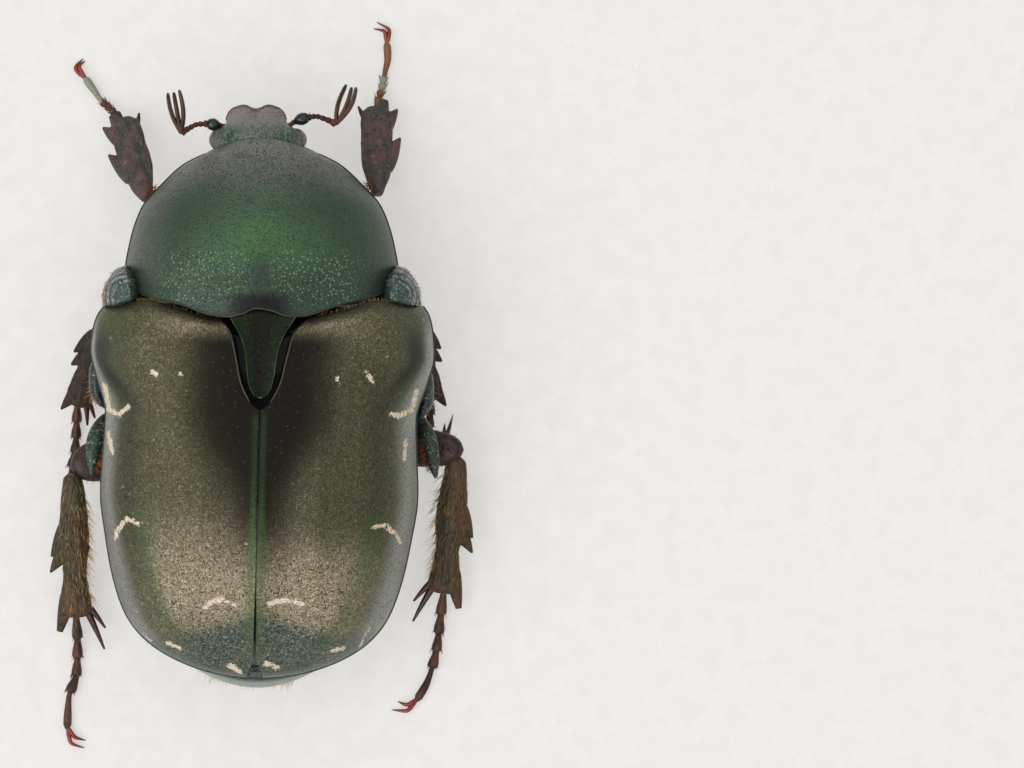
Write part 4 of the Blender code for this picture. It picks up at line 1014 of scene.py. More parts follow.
# Antenna: a scape, six bell-shaped joints along a curve, and a club of leaves. A leaf runs straight
# to its tip, bowed by a sine, and its width follows a sine rounded off at the tip.
def makeAntenna(label, stance):
    shape = antennaShape
    title, node = f"antenna{label.title()}", f"antenna_{label}"
    bulb = limbRings(stance["bulb"], shape["bulb"], 30, 20)
    makePiece(title + "Scape", [closedTube(bulb)], shells["scape"], [node])
    stalk = np.linspace(stance["root"], stance["bulb"][0], 3)
    funicle = curveLine(stance["funicle"], 110)
    radii = jointRadii(np.linspace(0, 1, 110), shape["jointShares"], shape["jointRadii"], 0.78)
    parts = [closedTube(limbRings(stalk, shape["stalk"], 16, 14))]
    parts.append(closedTube(tubeRings(funicle, radii, radii, 16)))
    makePiece(title + "Joints", parts, shells["antenna"])
    base, leaves, t = np.array(stance["funicle"][-1]), [], np.linspace(0, 1, 40)
    rounded = np.sqrt(np.clip((1.02 - t) / 0.10, 0.05, 1))
    profile = np.clip(np.sin(math.pi * (0.14 + 0.76 * t)) ** 0.5, 0.2, 1) * rounded
    thick, wide = shape["leafHalfThickness"] * profile**0.5, shape["leafHalfWidth"] * profile
    for tip, bow in stance["leaves"]:
        path = base + np.outer(t, np.subtract(tip, base)) + np.outer(np.sin(math.pi * t), (bow, 0.03, 0))
        leaves.append(closedTube(tubeRings(path, thick, wide, 16)))
    makePiece(title + "Club", leaves, shells["club"])


for label, stance in antennae.items():
    makeAntenna(label, stance)
print("antennae made")

shoulderShape = {
    "outline": [
        (5.12, -4.54), (5.52, -4.32), (5.82, -3.90), (5.98, -3.42), (6.00, -2.98), (5.50, -2.96),
        (4.78, -3.08), (4.50, -3.30), (4.66, -3.90),
    ],
    "corner": (4.98, -3.32),
    "levels": [
        (3.40, 0.60, 0.70), (3.75, 0.92, 0.93), (4.70, 1.00, 1.00), (5.40, 0.90, 0.97),
        (5.90, 0.72, 0.88), (6.20, 0.50, 0.72), (6.36, 0.22, 0.45),
    ],
    "arcEvery": 0.17, "fold": 0.02,
}
shoulderLook = {
    "outer": (138, 145, 143), "inner": (50, 68, 60), "arc": (34, 42, 42), "speck": (118, 140, 126),
    "metallic": 0.3, "roughness": 0.42, "coat": 0.1,
}


# Shoulder colour: pale grey with dark arcs outside, green with pale specks inside.
def shoulderFinish(look):
    mix = Mix("shoulderShell", look)
    grain = mix.noise(8.0, 3, 0.6, 0.4)
    inner = mix.blend(mix.times(mix.dots(9.0, 0.36, 0.16), 0.8), look["inner"], look["speck"])
    outer = mix.blend(mix.rise(grain, 0.60, 0.40), look["outer"], look["inner"])
    mix.colour = mix.blend(mix.read("outer"), inner, outer)
    arc = mix.times(mix.read("arc"), mix.rise(grain, 0.30, 0.50))
    mix.layer(arc, look["arc"])
    return mix.done([(grain, 0.012), (mix.rest(arc), 0.02)])


shoulderShell = shoulderFinish(shoulderLook)


# Shoulder piece: its outline in plan shrinks towards its inner corner with height. Arcs lie at
# even distances from that corner, a little disturbed, and dip by fold.
def makeShoulder(label, side):
    shape = shoulderShape
    outline = curveLine(shape["outline"] + shape["outline"][:1], 61)[:-1]
    corner = np.array(shape["corner"])
    levels = curveLine(shape["levels"], 50)
    plan = corner + (outline - corner) * levels[:, None, 1:]
    height = np.broadcast_to(levels[:, None, :1], plan.shape[:2] + (1,))
    rings = np.concatenate([plan, height], -1)
    out = unit(rings - rings.mean(1, keepdims=True))
    away = np.linalg.norm(rings[..., :2] - corner, axis=-1)
    wave = np.sin(2 * math.pi * away / shape["arcEvery"] + 1.6 * ripple(rings, 0.8, 4))
    outer = ramp(away, 0.38, 0.62)
    rings = mirrored(rings - out * (shape["fold"] * outer * wave)[..., None], side)
    part = closedTube(rings, outer=outer, arc=outer * ramp(wave, 0.1, 0.9))
    makePiece(f"shoulder{label.title()}Plate", [part], shoulderShell, [f"shoulder_{label}"])
    return rings


shoulderRings = {label: makeShoulder(label, side) for label, side in sideOf.items()}

thoraxShape = {
    "rows": [
        (-2.50, -3.00, -4.20, 5.30, 6.60, 4.00, 4.70, 3.20),
        (-2.20, -2.60, -3.60, 5.55, 6.95, 3.75, 5.20, 2.98),
        (-1.95, -2.10, -2.95, 5.40, 7.05, 3.60, 5.55, 2.92),
        (-1.85, -1.90, -2.72, 5.45, 7.10, 3.58, 5.70, 1.05),
        (-1.20, -1.20, -2.00, 5.50, 7.22, 3.60, 5.95, 0.75),
        (-0.40, -0.30, -0.90, 5.30, 7.38, 3.85, 6.22, 0.65),
        (0.30, 0.30, 0.10, 5.05, 7.45, 4.00, 6.28, 0.80),
        (0.50, 0.55, 0.30, 4.98, 7.46, 4.02, 6.18, 2.20),
        (1.52, 1.15, 1.20, 4.92, 7.48, 4.02, 5.70, 2.30),
    ],
    "flatness": 0.85,
    "knob": [
        (-2.40, 0.34, 0.30), (-3.10, 0.27, 0.26), (-3.40, 0.48, 0.26), (-3.75, 0.64, 0.27),
        (-4.05, 0.50, 0.22), (-4.22, 0.24, 0.12),
    ],
    "knobHeight": 1.15, "grooveDepth": 0.10,
    "sidePlate": {
        "left": [(6.02, -0.95, 4.15), (6.28, -0.40, 4.05), (6.22, 0.40, 4.00), (5.90, 1.00, 4.05)],
        "right": [(6.00, -0.85, 4.15), (6.22, -0.35, 4.05), (6.22, 0.45, 4.00), (5.98, 1.10, 4.05)],
    },
    "sidePlateSections": [
        (0, 0.05, 0.10), (0.25, 0.24, 0.42), (0.6, 0.28, 0.46), (0.9, 0.16, 0.30), (1, 0.04, 0.08),
    ],
}


# Thorax: a segment with a groove and slight waves below, a knob ahead of it, and side plates.
def makeThorax():
    shape = thoraxShape
    rings = trunkRings(shape["rows"], 130, 100, shape["flatness"], fullness=1.0)
    x, y, z = np.moveaxis(rings, -1, 0)
    half = rings.shape[1] // 2
    belly = np.zeros(rings.shape[:2])
    belly[:, half:] = 1
    # The top, under the elytra and pronotum, is marked for the near-black painted shade.
    above = (1 - belly) * ramp(z, 4.2, 5.0)
    groove = shape["grooveDepth"] * bell(x, 0, 0.10) * window(y, -2.6, 0.3, 0.3)
    rings[..., 2] += belly * (groove + 0.05 * ripple(rings, 0.35, 11) * ramp(np.abs(x), 2.0, 4.5))
    parts = [closedTube(rearTurned(rings), above=above)]
    knob = curveLine(shape["knob"], 50)
    path = np.column_stack([np.zeros(50), knob[:, 0], np.full(50, shape["knobHeight"])])
    parts.append(closedTube(rearTurned(tubeRings(path, knob[:, 1], knob[:, 2], 24))))
    makePiece("thoraxBody", parts, shells["thorax"], ["thorax"])
    for label, side in sideOf.items():
        line = mirrored(shape["sidePlate"][label], side)
        plateRings = rearTurned(limbRings(line, shape["sidePlateSections"], 50, 28))
        makePiece(f"sidePlate{label.title()}", [closedTube(plateRings)], shells["sidePlate"])
    return rearTurned(rings)


thoraxRings = makeThorax()

abdomenShape = {
    "rows": [
        (1.45, 5.02, 7.50, 4.05, 5.28, 2.28), (3.08, 5.08, 7.55, 3.90, 5.44, 2.28),
        (3.28, 5.10, 7.54, 3.86, 5.48, 1.30), (4.85, 5.08, 7.38, 3.74, 5.40, 1.08),
        (6.32, 4.84, 7.05, 3.64, 5.12, 1.14), (7.89, 4.44, 6.48, 3.58, 4.70, 1.45),
        (8.85, 3.92, 5.85, 3.58, 4.15, 1.78), (9.74, 3.00, 5.10, 3.58, 3.20, 2.12),
        (10.25, 2.05, 4.45, 3.56, 2.20, 2.45), (10.66, 1.20, 3.90, 3.52, 1.30, 2.80),
    ],
    "ends": (3.28, 4.85, 6.32, 7.89, 9.74), "step": 0.13, "rowsEach": 12,
}


# Abdomen: the belly of each plate starts sunk by step and comes out towards its end.
def makeAbdomen():
    shape = abdomenShape
    first, last = shape["rows"][0][0], shape["rows"][-1][0]
    ends = np.array((first,) + shape["ends"] + (last,))
    within = np.linspace(0.02, 0.98, shape["rowsEach"])
    places = (ends[:-1, None] + np.diff(ends)[:, None] * within).ravel()
    sunk = np.tile(1 - ramp(within, 0.0, 1.0), len(ends) - 1) * (places > shape["ends"][0]) * shape["step"]
    y, (halfTop, top, edge, halfLow, low) = places, curveThrough(shape["rows"], places).T
    forward = 0.45 * window(y, 9.9, 20, 0.8)
    rows = np.stack([y, y - forward, y, halfTop, top, edge, halfLow - sunk / 2, low + sunk], -1)
    rings = rearTurned(trunkRings(rows, len(rows), 90, 0.85))
    makePiece("abdomenBody", [closedTube(rings)], shells["belly"], ["abdomen"])
    return rings


abdomenRings = makeAbdomen()

pygidiumShape = {
    "rows": [
        (3.88, 11.02, 2.70, 0.78), (3.62, 11.30, 2.82, 0.95), (3.25, 11.43, 2.60, 0.95),
        (2.80, 11.36, 2.00, 0.75), (2.45, 11.10, 1.20, 0.40),
    ],
    "thickness": 0.45,
}


# Tail plate: rows from top to bottom, each an arc whose sides lie ahead of its middle.
def makePygidium():
    z, y, half, lag = (column[:, None] for column in curveLine(pygidiumShape["rows"], 50).T)
    share = np.linspace(-1, 1, 70)
    arc = y - lag * share**2
    height = z + 0 * share
    outer = np.stack([half * share, arc, height], -1)
    inner = np.stack([0.94 * half * share, arc - pygidiumShape["thickness"], height], -1)
    pale = ramp(outer[..., 1] + lag * share**2, 11.08, 11.28) * ramp(height, 3.0, 3.45) * 0.9
    part = plate(rearTurned(outer), rearTurned(inner), above=pale)
    makePiece("pygidiumPlate", [part], shells["tail"], ["pygidium"])
    return rearTurned(outer)


pygidiumGrid = makePygidium()
print("underside made")

# Legs: middle lines of the coxa and the femur, the tibia's tip, the middle line of the foot, and
# for each of its two claws the point that it bends through and its tip.
legShape = {
    "kneeReach": 0.58, "wingEnds": {"hind_left": (-0.12, 0.28), "hind_right": (-0.12, 0.50)},
    "femurEnds": {"hind_left": (0.34, 0.10), "hind_right": (-0.62, 0.10)},
    "femurWidening": {"hind_left": 0.22, "hind_right": 0.08},
    "kneeShift": {"hind_left": (0.14, 0), "hind_right": (-0.24, 0)}, "ankleGap": 0.10,
    "ankleDrop": 0.14, "clawHeight": 0.19, "clawTipHeight": 0.07,
    "clawSections": [
        (0, 0.06, 0.08), (0.25, 0.09, 0.12), (0.55, 0.075, 0.10), (0.8, 0.045, 0.06),
        (1.0, 0.015, 0.015),
    ],
    "jointShares": {
        "front": (0.0, 0.14, 0.25, 0.36, 0.47, 1.0), "middle": (0.0, 0.19, 0.36, 0.52, 0.67, 1.0),
        "hind": (0.0, 0.20, 0.37, 0.53, 0.68, 1.0),
    },
    "paleJoints": {"front_left": (0.47, 1.1), "front_right": (0.24, 0.47)},
    "jointRadii": {
        "front": (0.17, 0.16, 0.16, 0.16, 0.15), "middle": (0.20, 0.20, 0.19, 0.20, 0.16),
        "hind": (0.21, 0.21, 0.20, 0.21, 0.16),
    },
}
legs = {
    "front_left": {
        "coxa": [(0.70, -5.90, 2.52), (2.00, -6.02, 2.50), (3.20, -6.16, 2.60)],
        "femur": [(0.95, -6.86, 1.80), (2.60, -6.98, 1.90), (3.85, -6.72, 2.30)],
        "ankle": (5.30, -10.05, 0.86),
        "foot": [
            (5.82, -10.50, 0.36), (6.12, -10.78, 0.21), (6.42, -11.20, 0.21), (6.76, -11.68, 0.21),
        ],
        "claws": [[(7.10, -12.02), (6.82, -12.38)], [(6.96, -12.06), (6.74, -12.30)]],
    },
    "front_right": {
        "coxa": [(-0.70, -5.90, 2.52), (-2.00, -6.02, 2.50), (-3.20, -6.16, 2.60)],
        "femur": [(-0.95, -6.86, 1.80), (-2.60, -7.02, 1.90), (-3.90, -6.84, 2.30)],
        "ankle": (-4.30, -10.50, 0.86),
        "foot": [
            (-4.50, -11.20, 0.36), (-4.62, -11.80, 0.21), (-4.74, -12.42, 0.21), (-4.70, -13.02, 0.21),
        ],
        "claws": [[(-4.80, -13.42), (-4.32, -13.77)], [(-4.62, -13.40), (-4.20, -13.52)]],
    },
    "middle_left": {
        "coxa": [(0.88, -3.62, 2.44), (1.90, -3.62, 2.42), (2.90, -3.58, 2.50)],
        "femur": [(1.12, -3.62, 1.55), (3.40, -3.56, 1.72), (5.42, -2.98, 2.42)],
        "ankle": (7.02, 0.72, 0.86),
        "foot": [(7.06, 1.50, 0.36), (7.10, 2.30, 0.21), (7.26, 3.25, 0.21), (7.46, 4.30, 0.21)],
        "claws": [[(7.46, 4.80), (7.30, 5.22)], [(7.26, 4.80), (7.05, 5.10)]],
    },
    "middle_right": {
        "coxa": [(-0.88, -3.62, 2.44), (-1.90, -3.62, 2.42), (-2.90, -3.58, 2.50)],
        "femur": [(-1.12, -3.62, 1.55), (-3.30, -3.66, 1.72), (-5.26, -3.24, 2.42)],
        "ankle": (-6.36, 0.52, 0.86),
        "foot": [(-6.32, 1.40, 0.36), (-6.22, 2.20, 0.21), (-6.56, 2.72, 0.21), (-6.96, 2.20, 0.21)],
        "claws": [[(-7.04, 1.74), (-7.22, 1.10)], [(-6.88, 1.80), (-6.90, 1.44)]],
    },
    "hind_left": {
        "coxa": [
            (0.55, 0.98, 1.45), (2.50, 0.92, 1.58), (4.30, 0.98, 1.98), (5.60, 1.34, 2.62),
            (6.28, 2.14, 3.20), (6.56, 3.10, 3.42),
        ],
        "femur": [(1.00, 2.10, 1.38), (3.90, 2.36, 1.70), (6.64, 2.94, 2.28)],
        "ankle": (7.07, 8.74, 0.86),
        "foot": [(7.02, 9.80, 0.36), (7.06, 10.90, 0.21), (7.36, 11.90, 0.21), (7.42, 13.05, 0.21)],
        "claws": [[(7.28, 13.55), (6.77, 13.77)], [(7.12, 13.35), (6.72, 13.48)]],
    },
    "hind_right": {
        "coxa": [
            (-0.55, 0.98, 1.45), (-2.50, 0.92, 1.58), (-4.30, 0.98, 1.98), (-5.60, 1.34, 2.62),
            (-6.28, 2.10, 3.20), (-6.46, 3.02, 3.42),
        ],
        "femur": [(-1.00, 2.12, 1.38), (-3.90, 2.28, 1.70), (-6.72, 2.34, 2.28)],
        "ankle": (-6.86, 7.84, 0.86),
        "foot": [(-6.72, 8.95, 0.36), (-6.60, 9.95, 0.21), (-6.26, 11.20, 0.21), (-5.82, 11.98, 0.21)],
        "claws": [[(-5.42, 12.36), (-4.89, 12.32)], [(-5.46, 12.12), (-5.12, 12.00)]],
    },
}
coxaSections = {
    "front": [
        (0, 0.22, 0.18), (0.12, 0.42, 0.32), (0.5, 0.46, 0.36), (0.88, 0.40, 0.30), (1, 0.20, 0.16),
    ],
    "middle": [
        (0, 0.22, 0.14), (0.12, 0.40, 0.22), (0.5, 0.44, 0.25), (0.88, 0.38, 0.22), (1, 0.18, 0.12),
    ],
    "hind": [
        (0, 0.24, 0.20), (0.05, 0.42, 0.34), (0.2, 0.44, 0.36), (0.4, 0.44, 0.33), (0.6, 0.44, 0.28),
        (0.78, 0.38, 0.25), (0.9, 0.27, 0.20), (1, 0.06, 0.06),
    ],
}
femurSections = {
    "front": [
        (0.0, 0.22, 0.20), (0.08, 0.40, 0.36), (0.35, 0.52, 0.42), (0.65, 0.54, 0.42),
        (0.88, 0.46, 0.38), (1.0, 0.38, 0.36), (1.08, 0.22, 0.20),
    ],
    "middle": [
        (0.0, 0.20, 0.18), (0.07, 0.36, 0.32), (0.35, 0.52, 0.42), (0.65, 0.54, 0.43),
        (0.90, 0.46, 0.38), (1.0, 0.38, 0.35), (1.06, 0.22, 0.20),
    ],
    "hind": [
        (0.0, 0.22, 0.20), (0.06, 0.42, 0.34), (0.35, 0.66, 0.42), (0.62, 0.74, 0.43),
        (0.84, 0.68, 0.40), (0.94, 0.58, 0.37), (1.00, 0.42, 0.30), (1.035, 0.20, 0.16),
        (1.045, 0.03, 0.03),
    ],
}
tibiaSections = {
    "front": [
        (0.0, 0.17, 0.17), (0.04, 0.25, 0.25), (0.20, 0.45, 0.26), (0.45, 0.58, 0.27),
        (0.75, 0.58, 0.27), (0.93, 0.56, 0.27), (1.0, 0.36, 0.22),
    ],
    "middle": [
        (0.0, 0.17, 0.17), (0.04, 0.25, 0.25), (0.20, 0.41, 0.27), (0.45, 0.49, 0.29),
        (0.60, 0.45, 0.28), (0.85, 0.49, 0.29), (0.97, 0.50, 0.28), (1.0, 0.34, 0.24),
    ],
    "hind": [
        (0.0, 0.22, 0.17), (0.03, 0.36, 0.27), (0.20, 0.48, 0.29), (0.48, 0.55, 0.31),
        (0.62, 0.47, 0.31), (0.70, 0.42, 0.30), (0.88, 0.56, 0.32), (0.97, 0.62, 0.32),
        (1.0, 0.42, 0.26),
    ],
}
# Teeth and spurs of a tibia: root and tip as (share of its length, distance outward), then the
# half-width of the root. The last ones, as many as spurCount says, are the movable spurs.
tibiaSpines = {
    "front": [
        ((0.36, 0.18), (0.65, 0.90), 0.52), ((0.78, 0.20), (0.98, 0.81), 0.42),
        ((0.90, 0.10), (1.09, 0.36), 0.36), ((0.88, -0.42), (1.02, -0.67), 0.13),
    ],
    "middle": [
        ((0.28, 0.12), (0.48, 0.76), 0.46), ((0.46, 0.12), (0.62, 0.70), 0.40),
        ((0.88, 0.15), (1.11, 0.52), 0.32), ((0.93, -0.26), (1.18, -0.62), 0.13),
        ((0.91, -0.28), (1.08, -0.80), 0.12),
    ],
    "hind": [
        ((0.38, 0.15), (0.58, 0.88), 0.46), ((0.50, 0.15), (0.69, 0.93), 0.42),
        ((0.86, 0.25), (1.11, 0.63), 0.34), ((0.94, -0.36), (1.24, -1.05), 0.15),
        ((0.92, -0.42), (1.09, -1.10), 0.14),
    ],
}
spurCount = {"front": 1, "middle": 2, "hind": 2}


def camel(*words):  # words joined to one name in camelCase
    joined = "_".join(words).split("_")
    return joined[0] + "".join(word.title() for word in joined[1:])


def tibiaRoot(leg):  # past the femur's end, on the outside of the knee
    knee = np.asarray(leg["femur"][-1], float)
    bend = unit(unit(knee - leg["femur"][-2]) + unit(np.subtract(leg["ankle"], knee)))
    return knee + bend * legShape["kneeReach"]


# Ridges along a limb: its section swells with the cosine of count times the angle round it.
def ridged(count, height):
    def grow(along, turn):
        lengthwise = ramp(along, 0.12, 0.32) * (1 - ramp(along, 0.93, 1.0))
        return 1 + height * lengthwise * np.cos(count * turn + 1.5 * np.sin(5 * along))
    return grow


# Coxa and femur: limbs with slight waves in their surface.
def makeCoxaAndFemur(name, leg):
    kind = name.split("_")[0]
    coxaLine = np.array(leg["coxa"], float)
    coxaLine[-1, :2] += legShape["wingEnds"].get(name, (0, 0))
    coxa = limbRings(coxaLine, coxaSections[kind], 60, 28)
    coxa += ringNormals(coxa) * (0.03 * ripple(coxa, 0.6, 21))[..., None]
    finish = shells["coxa" if kind == "hind" else "underside"]
    makePiece(camel("coxa", name, "plate"), [closedTube(coxa)], finish, [f"coxa_{name}"])
    femurLine = np.array(leg["femur"], float)
    femurLine[-1, :2] += legShape["femurEnds"].get(name, (0, 0))
    sections = np.array(femurSections[kind])
    sections[:, 1] *= 1 + legShape["femurWidening"].get(name, 0) * ramp(sections[:, 0], 0.5, 0.9)
    femur = limbRings(femurLine, sections, 70, 32)
    femur += ringNormals(femur) * (0.02 * ripple(femur, 0.6, 22))[..., None]
    finish = shells["hindFemur" if kind == "hind" else "femur"]
    makePiece(camel("femur", name, "shaft"), [closedTube(femur)], finish, [f"femur_{name}"])
    return coxa, femur


# Tibia: a ridged limb with flat teeth as one piece, and its spurs as another.
def makeTibia(name, leg):
    kind = name.split("_")[0]
    root, ankle = tibiaRoot(leg), np.asarray(leg["ankle"], float)
    root[:2] += legShape["kneeShift"].get(name, (0, 0))
    along = ankle - root
    out = unit(np.cross(along, (0, 0, 1)))
    out *= np.sign(out[0]) * np.sign(root[0])
    line = [root, (root + ankle) / 2 + (0, 0, 0.08), ankle]
    rings = limbRings(line, tibiaSections[kind], 110, 40, ridged(9, 0.07))
    rings += ringNormals(rings) * (0.022 * ripple(rings, 1.4, 23))[..., None]
    parts = [closedTube(rings)]
    for (start, startOut), (end, endOut), width in tibiaSpines[kind]:
        base, tip = root + along * start + out * startOut, root + along * end + out * endOut
        base[2], tip[2] = max(base[2], 0.42), max(tip[2], 0.22)
        blunt = 0.12 if (kind, start) in (("hind", 0.86), ("front", 0.90)) else 0.04
        flat = 0.75 if width < 0.2 else 0.5
        parts.append(horn(base, tip, width, unit(along) * -0.04, flat, blunt))
    firstSpur = len(parts) - spurCount[kind]
    finish = shells[{"front": "frontTibia", "middle": "middleTibia", "hind": "tibia"}[kind]]
    makePiece(camel("tibia", name, "shaft"), parts[:firstSpur], finish, [f"tibia_{name}"])
    makePiece(camel("spurs", name), parts[firstSpur:], shells["spur"])
    return rings


# Foot: five bell-shaped joints on one line, then two claws from its end.
def makeFoot(name, leg):
    shape = legShape
    ankle, first = np.asarray(leg["ankle"], float), np.asarray(leg["foot"][0], float)
    start = ankle + unit(first - ankle) * shape["ankleGap"] - (0, 0, shape["ankleDrop"])
    line = curveLine([start] + leg["foot"], 161)
    gone = np.concatenate([[0], np.cumsum(np.linalg.norm(np.diff(line, axis=0), axis=1))])
    place = np.linspace(0, 1, 161)
    path = np.column_stack([np.interp(place, gone / gone[-1], line[:, axis]) for axis in range(3)])
    kind = name.split("_")[0]
    shares = shape["jointShares"][kind]
    radii = jointRadii(place, shares, shape["jointRadii"][kind], 0.62)
    foot = tubeRings(path, radii, radii, 20)
    # The last joint of the left front foot is pale, and the joints before it on the right one.
    paleFrom, paleTo = shape["paleJoints"].get(name, (2, 2))
    pale = 0.8 * ((place > paleFrom) & (place < paleTo))[:, None] * np.ones((1, 20))
    part = closedTube(foot, above=pale)
    finish = shells["palerTarsus" if name == "front_right" else "tarsus"]
    makePiece(camel("tarsus", name, "joints"), [part], finish, [f"foot_{name}"])
    claws, inside = [], path[-1] - unit(path[-1] - path[-8]) * 0.10
    dark = np.repeat(ramp(np.linspace(0, 1, 30), 0.7, 1.0)[:, None], 12, axis=1)
    for bend, tip in leg["claws"]:
        hook = [inside, (*bend, shape["clawHeight"]), (*tip, shape["clawTipHeight"])]
        rings = limbRings(hook, shape["clawSections"], 30, 12)
        claws.append(closedTube(rings, above=dark))
    finish = shells["spur" if name == "middle_right" else "claw"]
    makePiece(camel("claws", name), claws, finish)
    return foot


limbs = {}
for name, leg in legs.items():
    coxa, femur = makeCoxaAndFemur(name, leg)
    limbs[name] = {"coxa": coxa, "femur": femur}
    limbs[name] |= {"tibia": makeTibia(name, leg), "foot": makeFoot(name, leg)}
print("legs made")


# Fur: every hair is a three-sided taper on the curve root + length (t way + t*t lean). Its map
# puts each hair in a patch 0.003 across at its root's place on the skin's own unwrap.
def hairs(roots, ways, leans, lengths, places, radius, seed):
    count = len(roots)
    t = np.array((0.0, 0.35, 0.7))
    ways = unit(ways)
    bent = t[:, None] * ways[:, None] + t[:, None] ** 2 * leans[:, None]
    curve = roots[:, None] + lengths[:, None, None] * bent
    tips = roots + lengths[:, None] * (ways + leans)
    across = unit(np.cross(ways, np.where(np.abs(ways[:, 2:]) > 0.9, (1.0, 0, 0), (0, 0, 1.0))))
    over = np.cross(across, ways)
    turn = np.arange(3) * 2 * math.pi / 3
    around = across[:, None] * np.cos(turn)[:, None] + over[:, None] * np.sin(turn)[:, None]
    size = radius * np.array((1.0, 0.8, 0.5))
    rings = curve[:, :, None] + around[:, None] * size[:, None, None]
    points = np.concatenate([rings.reshape(count, 9, 3), tips[:, None]], 1)
    points[..., 2] = np.maximum(points[..., 2], 0.01)  # no hair goes through the floor
    first = np.arange(count)[:, None, None] * 10
    ends = np.array([(6, 7, 9), (7, 8, 9), (8, 6, 9), (2, 1, 0)])
    patch = np.array([(r / 3, k / 3) for r in range(3) for k in range(3)] + [(1, 0.5)]) * 0.003
    return {
        "points": points.reshape(-1, 3),
        "quads": (first + gridQuads(3, 3, True)).reshape(-1, 4),
        "tris": (first + ends).reshape(-1, 3),
        "strand": np.repeat(np.random.default_rng(seed).uniform(0, 1, count), 10),
        "along": np.tile(np.append(np.repeat(t, 3), 1.0), count),
        "uv": (places[:, None] * 0.99 + patch).reshape(-1, 2),
    }


# Hair scattered on a skin between shares of its rows and columns. A hair points to out times the
# skin's outward direction plus way and bends by lean, with the disorder mess in both. A skin is
# rings, or else a plate whose outer side faces up.
def coatOn(skin, rows, columns, count, length, radius, seed, out, way, lean=(0, 0, 0), mess=0.25, up=None):
    draw = np.random.default_rng(seed)
    u, v = draw.uniform(*rows, count), draw.uniform(*columns, count)
    normals = gridNormals(skin, up) if up else ringNormals(skin)
    roots = readGrid(skin, u, v, not up)
    outs = unit(readGrid(normals, u, v, not up))
    ways = outs * out + way + draw.normal(size=(count, 3)) * mess
    leans = lean + draw.normal(size=(count, 3)) * mess * 0.6
    lengths = length * draw.uniform(0.55, 1.15, count)
    places = np.column_stack([u, v % 1])
    return hairs(roots - outs * radius, ways, leans, lengths, places, radius, seed + 1)


# Directions out of a plate's grid, which is open at its edges; up points to its outer side.
def gridNormals(grid, up):
    normals = unit(np.cross(np.gradient(grid, axis=1), np.gradient(grid, axis=0)))
    return normals * np.where(normals @ np.asarray(up, float) < 0, -1, 1)[..., None]


# Radii of the hairs, then how many hairs there are and their length.
furShape = {
    "fringeRadius": 0.013, "shortRadius": 0.010, "hindFringe": (100, 0.56),
    "tibiaHair": {"front": (120, 0.15), "middle": (200, 0.22), "hind": (520, 0.34)},
    "femurHair": (220, 0.28), "wingHair": (90, 0.26), "kneeHair": (50, 0.34), "footHair": (30, 0.12),
    "ringBristles": (12, 0.20),
}


# Hair of a leg: down the tibia, with a fringe inside the hind one, out along the femur, at the
# knee or on the coxa's wing, and rings of bristles at the ends of the foot's joints.
def makeLegFur(name, skins):
    kind, label = name.split("_")
    shape, side, seed = furShape, sideOf[label], 100 + 10 * list(legs).index(name)
    long, short = shape["fringeRadius"], shape["shortRadius"]
    coxa, femur, tibia, foot = (skins[part] for part in ("coxa", "femur", "tibia", "foot"))
    ways = [unit(skin[-1].mean(0) - skin[0].mean(0)) for skin in (femur, tibia, foot)]
    outwards, down, ahead = ways
    # Column 0 of a ring lies on its right-hand side as it runs, and half way round on its left.
    inner = 0.5 if np.cross(down, (0, 0, 1))[0] * side > 0 else 0.0
    inside = {half: (inner - half, inner + half) for half in (0.09, 0.12, 0.2)}
    onTibia = [
        coatOn(tibia, (0.05, 0.93), (0, 1), *shape["tibiaHair"][kind], short, seed + 1, 0.16, down * 0.9,
               mess=0.12),
    ]
    onFemur = [
        coatOn(femur, (0.08, 0.95), (0, 1), *shape["femurHair"], short, seed + 3, 0.35, outwards * 0.5,
               (0, 0.24, 0)),
    ]
    if kind == "hind":
        fringe = coatOn(tibia, (0.12, 0.86), inside[0.09], *shape["hindFringe"], 0.9 * long, seed, 0.7,
                        down * 0.8, down * 0.3)
        onTibia.insert(0, fringe)
        way = (-0.3 * side, 0.6, 0)
        onFemur.append(coatOn(coxa, (0.72, 0.97), inside[0.12], *shape["wingHair"], long, seed + 4, 0.6, way))
    else:
        way = (-0.5 * side, -0.3 if kind == "front" else 0.5, 0)
        onFemur.append(coatOn(tibia, (0, 0.14), inside[0.2], *shape["kneeHair"], long, seed + 4, 0.7, way))
    bristles = []
    for n, end in enumerate(legShape["jointShares"][kind][1:-1]):
        rows = (end - 0.035, end - 0.01)
        bristles.append(coatOn(foot, rows, (0, 1), *shape["ringBristles"], 0.014, seed + 5 + n, 0.4,
                               ahead * 0.9, mess=0.12))
    bristles.append(coatOn(foot, (0.1, 0.65), (0, 1), *shape["footHair"], short, seed + 9, 0.4, ahead * 0.8))
    makePiece(camel("fur", name, "tibia"), onTibia, furs["gold" if kind == "hind" else "dark"])
    makePiece(camel("fur", name, "femur"), onFemur, furs["orange"])
    makePiece(camel("bristles", name), bristles, furs["dark"])


for name, skins in limbs.items():
    makeLegFur(name, skins)
print("leg fur made")


